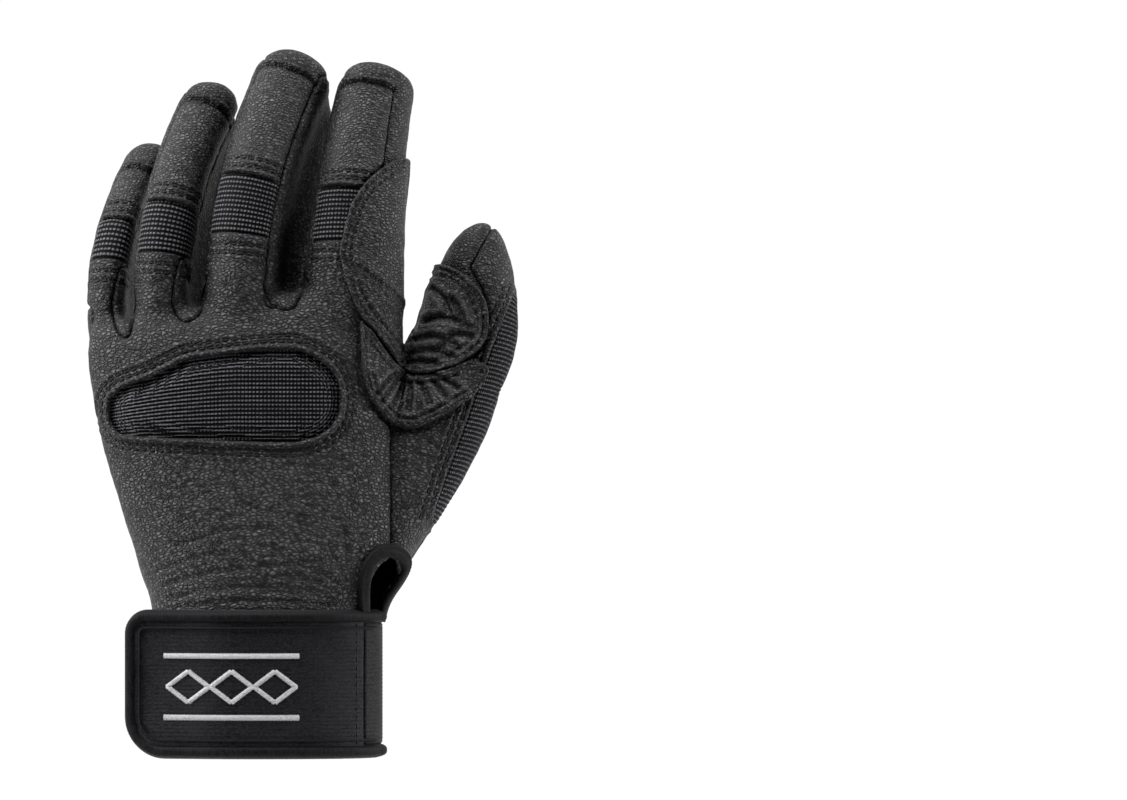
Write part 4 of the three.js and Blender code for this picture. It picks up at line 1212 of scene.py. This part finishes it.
def beads(places, sides, rings):
    """Oval beads of thread; each place is a point, the way it lies, the way out and its three sizes."""
    whole = bmesh.new()
    for start in range(0, len(places), 24):
        bm = bmesh.new()
        for point, along, out, size in places[start:start + 24]:
            turned = Matrix((along, out.cross(along).normalized(), out)).transposed().to_4x4()
            bmesh.ops.create_uvsphere(bm, u_segments=sides, v_segments=rings, radius=MM / 2,
                                      matrix=Matrix.Translation(point) @ turned @ Matrix.Diagonal((*size, 1)))
        mesh = mesh_of("beads", bm)
        whole.from_mesh(mesh)
        bpy.data.meshes.remove(mesh)
    return whole


def threads(lines, surface, length, thick, pitch=STITCH_PITCH):
    """Stitches along lines of points, each a bead of thread that dips into the leather at its ends."""
    sunk, away = 0.12, 4 * MM
    places = []
    for line in lines:
        points = spaced(line, pitch)
        if len(points) < 3:
            continue
        for point, way in zip(points, unit(np.gradient(points, axis=0))):
            near, normal, _, _ = surface.find_nearest(Vector(point) * MM)
            if near is None or (near - Vector(point) * MM).length > away:
                continue
            along = (Vector(way) - normal * Vector(way).dot(normal)).normalized()
            places.append(
                (near + normal * (0.3 * thick - sunk) * MM, along, normal, (length, thick, 0.8 * thick)))
    return beads(places, 8, 6)


def embroidery(surface):
    """A plain chain of lozenges between two bars in satin stitch: short threads laid side by side."""
    left, right, bars, middle = -31, 14, (34.2, 13.8), 24
    lozenges, half, rise, pitch = 3, 7.2, 5.2, 0.42
    ways = [([(left, height), (right, height)], 2.2) for height in bars]
    for side in (1, -1):
        zigzag = [(left + 1 + half * i, middle + side * (rise if i % 2 else -0.2))
                  for i in range(2 * lozenges + 1)]
        ways.append((zigzag, 1.9))
    places = []
    for corners, wide in ways:
        for (ax, az), (bx, bz) in zip(corners, corners[1:]):
            count = int(math.hypot(bx - ax, bz - az) / pitch)
            along = Vector((bx - ax, 0, bz - az)).normalized()
            for i in range(count):
                share = (i + 0.5) / count
                start = Vector((ax + (bx - ax) * share, BEFORE, az + (bz - az) * share)) * MM
                hit, out, _, _ = surface.ray_cast(start, Vector(INWARD))
                if hit is not None:
                    swing = 1 + 0.10 * math.sin(i * 2.4)
                    size = (wide * swing, 0.60, 0.76)
                    places.append((hit + out * 0.12 * MM, out.cross(along).normalized(), out, size))
    return beads(places, 6, 5)


def linear(hex_colour):
    """An sRGB hex colour as the linear one that shaders take."""
    parts = [int(hex_colour[i:i + 2], 16) / 255 for i in (1, 3, 5)]
    return [p / 12.92 if p <= 0.04045 else ((p + 0.055) / 1.055) ** 2.4 for p in parts] + [1.0]


def add(tree, kind, inputs=None, out=0, stops=(), **settings):
    """Adds a node and returns one of its outputs. Each input is another node's output, which is linked,
    a number, or a hex colour. The stops of a colour ramp are places with a grey or a hex colour."""
    node = tree.nodes.new("ShaderNode" + kind)
    for key, value in settings.items():
        setattr(node, key, value)
    if stops:
        elements = node.color_ramp.elements
        elements[0].position, elements[-1].position = stops[0][0], stops[-1][0]
        for at, _ in stops[1:-1]:
            elements.new(at)
        for element, (_, shade) in zip(elements, stops):
            element.color = linear(shade) if isinstance(shade, str) else (shade,) * 3 + (1,)
    for key, value in (inputs or {}).items():
        if isinstance(value, bpy.types.NodeSocket):
            tree.links.new(value, node.inputs[key])
        else:
            node.inputs[key].default_value = linear(value) if isinstance(value, str) else value
    return node.outputs[out] if len(node.outputs) else None


def repeats(*sizes_mm):
    """The scale of Object coordinates that makes a pattern repeat at these sizes across, deep and up."""
    return [1 / (size * MM) for size in sizes_mm]


# The settings of a Mix node that blends two colours; its inputs are 0 the share, 6 and 7 the colours
BLEND = dict(out=2, data_type="RGBA")


def goat_leather(tree, place, valley, hill, pebble_mm, relief_mm, roughness, wrinkle=0.5):
    """Drum-dyed goatskin: a fine pebbled grain that lies across the hand, with a soft satin sheen. Its
    furrows are painted dark as painted shade and its pebbles paler as painted highlight. The real grain is
    about 0.6 mm; it is drawn coarser, so that it shows in the picture."""
    # The pebbles wander by up to 0.9 mm, so that they don't lie in rows
    wander = add(tree, "TexNoise", {
        "Vector": add(tree, "Mapping", {"Vector": place, "Scale": repeats(7, 7, 7)}), "Scale": 1.0,
        "Detail": 2.0}, "Color")
    sway = add(tree, "VectorMath", {0: wander, 1: (0.5, 0.5, 0.5)}, operation="SUBTRACT")
    push = add(tree, "VectorMath", {0: sway, "Scale": 1.8 * MM}, operation="SCALE")
    pushed = add(tree, "VectorMath", {0: place, 1: push}, operation="ADD")
    # Pebbles, the pores on them and finer wrinkles, all wider across the hand than along it
    size = repeats(pebble_mm * 1.35, pebble_mm, pebble_mm * 0.85)
    pebbles = add(tree, "TexVoronoi", {
        "Vector": add(tree, "Mapping", {"Vector": pushed, "Scale": size}), "Scale": 1.0, "Randomness": 0.95,
    }, feature="DISTANCE_TO_EDGE")
    size = repeats(pebble_mm * 0.6, pebble_mm * 0.5, pebble_mm * 0.38)
    pores = add(tree, "TexVoronoi", {
        "Vector": add(tree, "Mapping", {"Vector": pushed, "Scale": size}), "Scale": 1.0}, feature="F1")
    lines = add(tree, "TexNoise", {
        "Vector": add(tree, "Mapping", {"Vector": pushed, "Scale": repeats(3.4, 2.0, 1.1)}), "Scale": 1.0,
        "Detail": 3.0, "Roughness": 0.6})
    furrow = add(tree, "ValToRGB", {"Fac": pebbles}, stops=[(0.02, 0.0), (0.15, 0.55), (0.38, 1.0)])
    fine = add(tree, "ValToRGB", {"Fac": pores}, stops=[(0.25, 1.0), (0.85, 0.0)])
    grain = add(tree, "Mix", {0: 0.18, 6: furrow, 7: fine}, **BLEND)
    furrows = add(tree, "ValToRGB", {"Fac": lines}, stops=[(0.36, 0.0), (0.48, 0.85), (0.62, 1.0)])
    height = add(tree, "Mix", {0: 0.25 + 0.5 * wrinkle, 6: grain, 7: furrows}, blend_type="MULTIPLY", **BLEND)
    # The dye is a little uneven; seams and creases are painted black as painted shade, and the crests beside
    # them paler, partly rubbed wear and partly painted highlight
    patches = add(tree, "TexNoise", {
        "Vector": add(tree, "Mapping", {"Vector": place, "Scale": repeats(24, 24, 24)}),
        "Scale": 1.0, "Detail": 2.0})
    uneven = add(tree, "ValToRGB", {"Fac": patches}, stops=[(0.35, 0.0), (0.7, 0.2)])
    # The colour follows the grain's height: black in the furrows as painted shade, grey on the pebbles as
    # painted highlight
    tint = add(tree, "ValToRGB", {"Fac": height}, stops=[(0.28, valley), (0.52, hill[0]), (0.80, hill[1])])
    uneven_dye_and_grain_light = add(tree, "Mix", {0: uneven, 6: tint, 7: hill[0]}, **BLEND)
    # The corners' painted light: above 0 painted shade turns the colour black, below 0 painted highlight and
    # rubbed wear turn it pale grey
    painted_light_and_wear = add(tree, "Attribute", out="Fac", attribute_name="painted_light_and_wear", attribute_type="GEOMETRY")
    crest = add(tree, "MapRange", {"Value": painted_light_and_wear, "From Min": 0.0, "From Max": -1.0})
    crest_wear_and_highlight = add(tree, "Mix", {0: crest, 6: uneven_dye_and_grain_light, 7: "#6e6e70"}, **BLEND)
    return {
        "Base Color": add(tree, "Mix", {0: painted_light_and_wear, 6: crest_wear_and_highlight, 7: "#000000"}, **BLEND),
        "Roughness": add(tree, "MapRange", {"Value": height, "From Min": 0.2, "From Max": 0.9,
                                            "To Min": roughness + 0.08, "To Max": roughness - 0.04}),
        "Normal": add(tree, "Bump", {"Height": height, "Strength": 1.0, "Distance": relief_mm * MM}),
        "Specular IOR Level": 0.20,
    }


def rib_knit(tree, place, low, high, dot_mm, rise_mm):
    """Rib-knit stretch nylon in rows of loops: painted dark in the gaps as painted shade, and paler on the
    loops that stand out as painted highlight. The real loops are about half as far apart; they are drawn
    coarser, so that they show in the picture."""
    loops = add(tree, "TexVoronoi", {
        "Vector": add(tree, "Mapping", {"Vector": place, "Scale": repeats(dot_mm, dot_mm, dot_mm)}),
        "Scale": 1.0,
        "Randomness": 0.45})
    fuzz = add(tree, "TexNoise", {
        "Vector": add(tree, "Mapping", {"Vector": place, "Scale": repeats(0.5, 0.5, 0.35)}), "Scale": 1.0,
        "Detail": 3.0})
    body = add(tree, "TexNoise", {
        "Vector": add(tree, "Mapping", {"Vector": place, "Scale": repeats(12, 12, 12)}), "Scale": 1.0})
    loop = add(tree, "ValToRGB", {"Fac": loops}, stops=[(0.1, 1.0), (0.7, 0.0)])
    yarn = add(tree, "Mix", {0: 0.4, 6: loop, 7: fuzz}, **BLEND)
    # The colour is mostly set by how far the cloth stands out: painted highlight on the ribs, painted shade
    # between them
    rib = add(tree, "Attribute", out="Fac", attribute_name="rib", attribute_type="GEOMETRY")
    lit = add(tree, "Mix", {0: 0.28, 6: rib, 7: yarn}, **BLEND)
    tint = add(tree, "ValToRGB", {"Fac": lit}, stops=[(0.32, low), (0.56, high[0]), (0.80, high[1])])
    uneven = add(tree, "ValToRGB", {"Fac": body}, stops=[(0.3, 0.0), (0.7, 0.2)])
    return {
        "Base Color": add(tree, "Mix", {0: uneven, 6: tint, 7: high[0]}, **BLEND),
        "Normal": add(tree, "Bump", {"Height": yarn, "Strength": 1.0, "Distance": rise_mm * MM}),
        "Roughness": 0.75, "Specular IOR Level": 0.06, "Sheen Weight": 0.01,
    }


def woven(tree, place, low, high, yarn_mm, rise_mm, roughness=0.65, sheen=0.01):
    """Woven polyester or nylon: even rows of yarn with a little fuzz, matt, and paler where it is dusty."""
    yarns = add(tree, "TexNoise", {
        "Vector": add(tree, "Mapping", {"Vector": place, "Scale": repeats(*yarn_mm)}),
        "Scale": 1.0, "Detail": 2.0})
    fuzz = add(tree, "TexNoise", {
        "Vector": add(tree, "Mapping", {"Vector": place, "Scale": repeats(0.4, 0.4, 0.4)}), "Scale": 1.0,
        "Detail": 3.0})
    dust = add(tree, "TexNoise", {
        "Vector": add(tree, "Mapping", {"Vector": place, "Scale": repeats(15, 15, 15)}), "Scale": 1.0})
    mass = add(tree, "Mix", {0: 0.35, 6: yarns, 7: fuzz}, **BLEND)
    tint = add(tree, "ValToRGB", {"Fac": mass}, stops=[(0.40, low), (0.60, high)])
    uneven = add(tree, "ValToRGB", {"Fac": dust}, stops=[(0.35, 0.0), (0.75, 0.4)])
    return {
        "Base Color": add(tree, "Mix", {0: uneven, 6: tint, 7: high}, **BLEND),
        "Normal": add(tree, "Bump", {"Height": mass, "Strength": 0.9, "Distance": rise_mm * MM}),
        "Roughness": roughness, "Specular IOR Level": 0.07, "Sheen Weight": sheen,
    }


def twisted(tree, place, low, high, twist_mm, roughness, specular):
    """Twisted thread: its plies shine a little along their length."""
    size = repeats(twist_mm, twist_mm, twist_mm * 0.5)
    plies = add(tree, "TexNoise", {
        "Vector": add(tree, "Mapping", {"Vector": place, "Scale": size}), "Scale": 1.0, "Detail": 2.0})
    return {
        "Base Color": add(tree, "ValToRGB", {"Fac": plies}, stops=[(0.3, low), (0.7, high)]),
        "Normal": add(tree, "Bump", {"Height": plies, "Strength": 0.7, "Distance": 0.08 * MM}),
        "Roughness": roughness, "Specular IOR Level": specular, "Sheen Weight": 0.1,
    }


def material(name, finish, *details):
    """A material whose finish gives the shader's inputs from Object coordinates."""
    made = bpy.data.materials.new(name)
    made.use_nodes = True
    tree = made.node_tree
    tree.nodes.clear()
    place = add(tree, "TexCoord", out="Object")
    inputs = {"IOR": 1.5, "Sheen Roughness": 0.5, **finish(tree, place, *details)}
    add(tree, "OutputMaterial", {"Surface": add(tree, "BsdfPrincipled", inputs)})
    return made


# Leather: colour in the furrows, on the slopes and the pebbles, from painted shade to painted highlight;
# pebble and relief in mm, roughness, wrinkles
LOOKS = dict(
    # Full-grain goatskin, soft black, with grey painted highlight on the bold pebbles
    back=material("goat_leather_back", goat_leather, "#000000", ("#141415", "#464647"), 1.3, 0.34, 0.48),
    # The same skin pulled smooth over the fingers: a finer grain that shines a little more
    finger=material(
        "goat_leather_finger", goat_leather, "#030303", ("#1c1c1d", "#434344"), 1.1, 0.28, 0.46, 0.3),
    # Side strips and finger fronts, turned from the light: a grain painted darker as painted shade
    side=material("goat_leather_side", goat_leather, "#000000", ("#151516", "#404041"), 1.15, 0.30, 0.48),
    # The second layer, stiffer and a little paler than the skin under it
    patch=material("goat_leather_patch", goat_leather, "#000000", ("#19191a", "#484849"), 1.15, 0.30, 0.48),
    # The palm, rubbed flatter and duller by rope
    palm=material("goat_leather_palm", goat_leather, "#000000", ("#151516", "#363637"), 1.3, 0.27, 0.52),
    # The inside of the leather: matt nap with no shine
    flesh=material("suede_flesh_side", woven, "#010101", "#060606", (0.5, 0.5, 0.5), 0.10, 0.9, 0.0),
    # Stretch cloth: grey on its ribs, partly the loops' own pattern and partly painted highlight, over black
    # gaps, partly painted shade
    knit=material("rib_knit_nylon", rib_knit, "#000000", ("#0b0b0d", "#5a5a5e"), 0.7, 0.06),
    # Ribbed binding tape: dull black rows
    tape=material("polyester_tape", woven, "#020203", "#131315", (0.5, 0.5, 2.2), 0.06),
    # The tab's web: flat rows across it, a shade paler than its tape
    web=material("polyester_webbing", woven, "#010101", "#1c1c1f", (0.9, 0.9, 0.45), 0.12),
    # The elastic's web: long soft rows
    elastic=material("woven_elastic", woven, "#020203", "#1e1e20", (1.2, 1.2, 0.45), 0.10),
    # Seam thread: black, with a small dull glint on each stitch
    thread=material("bonded_thread", twisted, "#000000", "#070708", 0.5, 0.55, 0.12),
    # Embroidery thread: pale grey with a silky shine
    pale_thread=material("rayon_thread", twisted, "#7c7c7e", "#b6b6b8", 0.5, 0.45, 0.3),
)
SKIN_LOOK = {"back_panel": "back", "palm_panel": "palm", "thumb_panel": "back", "thumb_front": "side"}

# Second layers of leather: outline and how deep from the back each one reaches
LAYERS = [
    ("thumb_patch", THUMB_PATCH, 10.0), ("index_patch", INDEX_PATCH, 8.0), ("web_patch", WEB_PATCH, 0.4)]

skin = hand_form()
bare = BVHTree.FromBMesh(skin)
cover = skin.copy()
px, py, pz = positions(cover).T
layers = [(name, np.minimum(inside(rounded(line, 3), px, pz), deep - py)) for name, line, deep in LAYERS]
Panels(cover, layers + [("rest", np.full(len(px), -OUTSIDE))]).labelled()

# The first layer of leather
cuts = fields(positions(skin))
skin.verts.index_update()
panels = Panels(skin, palm_ends_rounded(skin, cuts))
label, names = panels.labelled(), panels.names
rows = stitch_rows(bare)
wrinkles = {name: crease_lines(bare, name) for name in CREASES}
kinds = edges_by_kind(skin, label, names)
busy = [p for kind, p in kinds.items() if kind != "bound"] + wrinkles["cuff"][2]
refined(skin, np.vstack(busy), np.vstack(rows))
patch_edges = [run for _, line, _ in LAYERS
               for run in on_back(bare, spaced(rounded(line, 3), LINE_STEP, True))]
skin_relief(skin, label, names, rows, np.vstack(patch_edges), [wrinkles["cuff"]])
outer = []
for number, name in enumerate(names):
    if name == "hole" or "stretch" in name:
        continue
    bm = only(skin, number)
    look = SKIN_LOOK.get(name, "finger" if name.startswith("finger_back") else "side")
    outer.append(
        finished(name + "_leather", bm, LOOKS[look], [name], LEATHER_WALL, LOOKS["flesh"]))

# The second layer
patch_lines = []
for number, (name, _, _) in enumerate(LAYERS):
    bm = only(cover, number)
    bmesh.ops.subdivide_edges(bm, edges=bm.edges, cuts=1, use_grid_fill=True)
    bm.normal_update()
    sewn = patch_rows(bare, name)
    patch_lines += sewn
    folds = {"web_patch": [wrinkles["crotch"]], "thumb_patch": [wrinkles["thumb"]]}.get(name, [])
    patch_relief(bm, name, sewn, folds)
    outer.append(finished(name + "_layer", bm, LOOKS["patch"], [name], PATCH_WALL))

# Stretch cloth
cloths = {"knuckle_stretch": knuckle_cloth(bare), "thumb_stretch": thumb_cloth(bare)}
cloths.update({"finger_stretch_" + name: finger_cloth(bare, one) for name, one in FINGERS.items()})
for name, bm in cloths.items():
    ribs_shown(bm)
    finished(name + "_knit", bm, LOOKS["knit"], [name], CLOTH_WALL)

# The strap and the tape round the clip hole
tab = strap_tab()
finished("strap_binding_tape", strap_tape(), LOOKS["tape"], ["strap_binding"], 0)
finished("strap_tab_web", tab, LOOKS["web"], ["strap_tab"], TAB_WALL)
finished("strap_elastic_web", strap_elastic(), LOOKS["elastic"], ["strap_elastic"], ELASTIC_WALL)
finished("notch_binding_tape", hole_tape(bare), LOOKS["tape"], ["notch_binding"], 0)

# Threads: length and thickness of a stitch, and how far apart
covers = bmesh.new()
for piece in outer:
    covers.from_mesh(piece.data)
tab_face = BVHTree.FromBMesh(tab)
finished("leather_stitches",
         threads(rows + patch_lines, BVHTree.FromBMesh(covers), 2.1, 0.85), LOOKS["thread"])
finished("strap_embroidery", embroidery(tab_face), LOOKS["pale_thread"])
strap_rows = [spaced(row, LINE_STEP)
              for row in on_back(tab_face, spaced([(33.0, 5.5), (33.0, 44.0)], LINE_STEP))]
finished("strap_stitches", threads(strap_rows, tab_face, 2.0, 0.6, 2.7), LOOKS["thread"])


def add_light(name, spot, size, power):
    """A square softbox that faces the middle of the glove."""
    light = bpy.data.lights.new(name, "AREA")
    light.energy, light.size, light.color = power, size, linear("#ffffff")[:3]
    lamp = shown(name, light)
    lamp.location = spot
    lamp.rotation_euler = (Vector((0, 0, 0.12)) - Vector(spot)).to_track_quat("-Z", "Y").to_euler()


add_light("softbox_left", (-1.6, -0.14, 0.8), 0.9, 66)
add_light("softbox_right", (1.6, -0.12, 0.5), 0.8, 42)
add_light("softbox_top", (-0.3, -0.42, 1.65), 0.8, 48)
world = bpy.data.worlds.new("studio")
bpy.context.scene.world = world
world.use_nodes = True
studio = world.node_tree
backdrop = studio.nodes["Background"]
backdrop.inputs["Color"].default_value = linear("#fafafa")
# The studio is brightest behind the glove and dimmer on the camera's side
BRIGHTEST, DIMMEST = 1.06, 0.07
ahead = add(studio, "SeparateXYZ", {"Vector": add(studio, "TexCoord", out="Generated")}, "Y")
dimmed = add(studio, "MapRange", {"Value": ahead, "From Min": -0.5, "From Max": 0.6, "To Min": DIMMEST,
                                  "To Max": BRIGHTEST}, interpolation_type="SMOOTHSTEP")
# Seen directly, the backdrop is the same pale sweep from every side
seen = add(studio, "LightPath", out="Is Camera Ray")
even = add(studio, "Mix", {0: seen, 2: dimmed, 3: BRIGHTEST}, data_type="FLOAT")
studio.links.new(even, backdrop.inputs["Strength"])

# A small pale floor below the glove, of matt paper: no shine and a faint mottle
floor = bmesh.new()
bmesh.ops.create_circle(
    floor, cap_ends=True, segments=64, radius=0.3, matrix=Matrix.Translation((0, 0, -0.06)))
floor_mesh = mesh_of("studio_floor", floor)
floor_mesh.materials.append(material("matt_paper", woven, "#cccccc", "#d6d6d6", (3, 3, 3), 0.02, 0.9, 0.0))
shown("studio_floor", floor_mesh)

# The standard view keeps the blacks black
bpy.context.scene.view_settings.view_transform = "Standard"
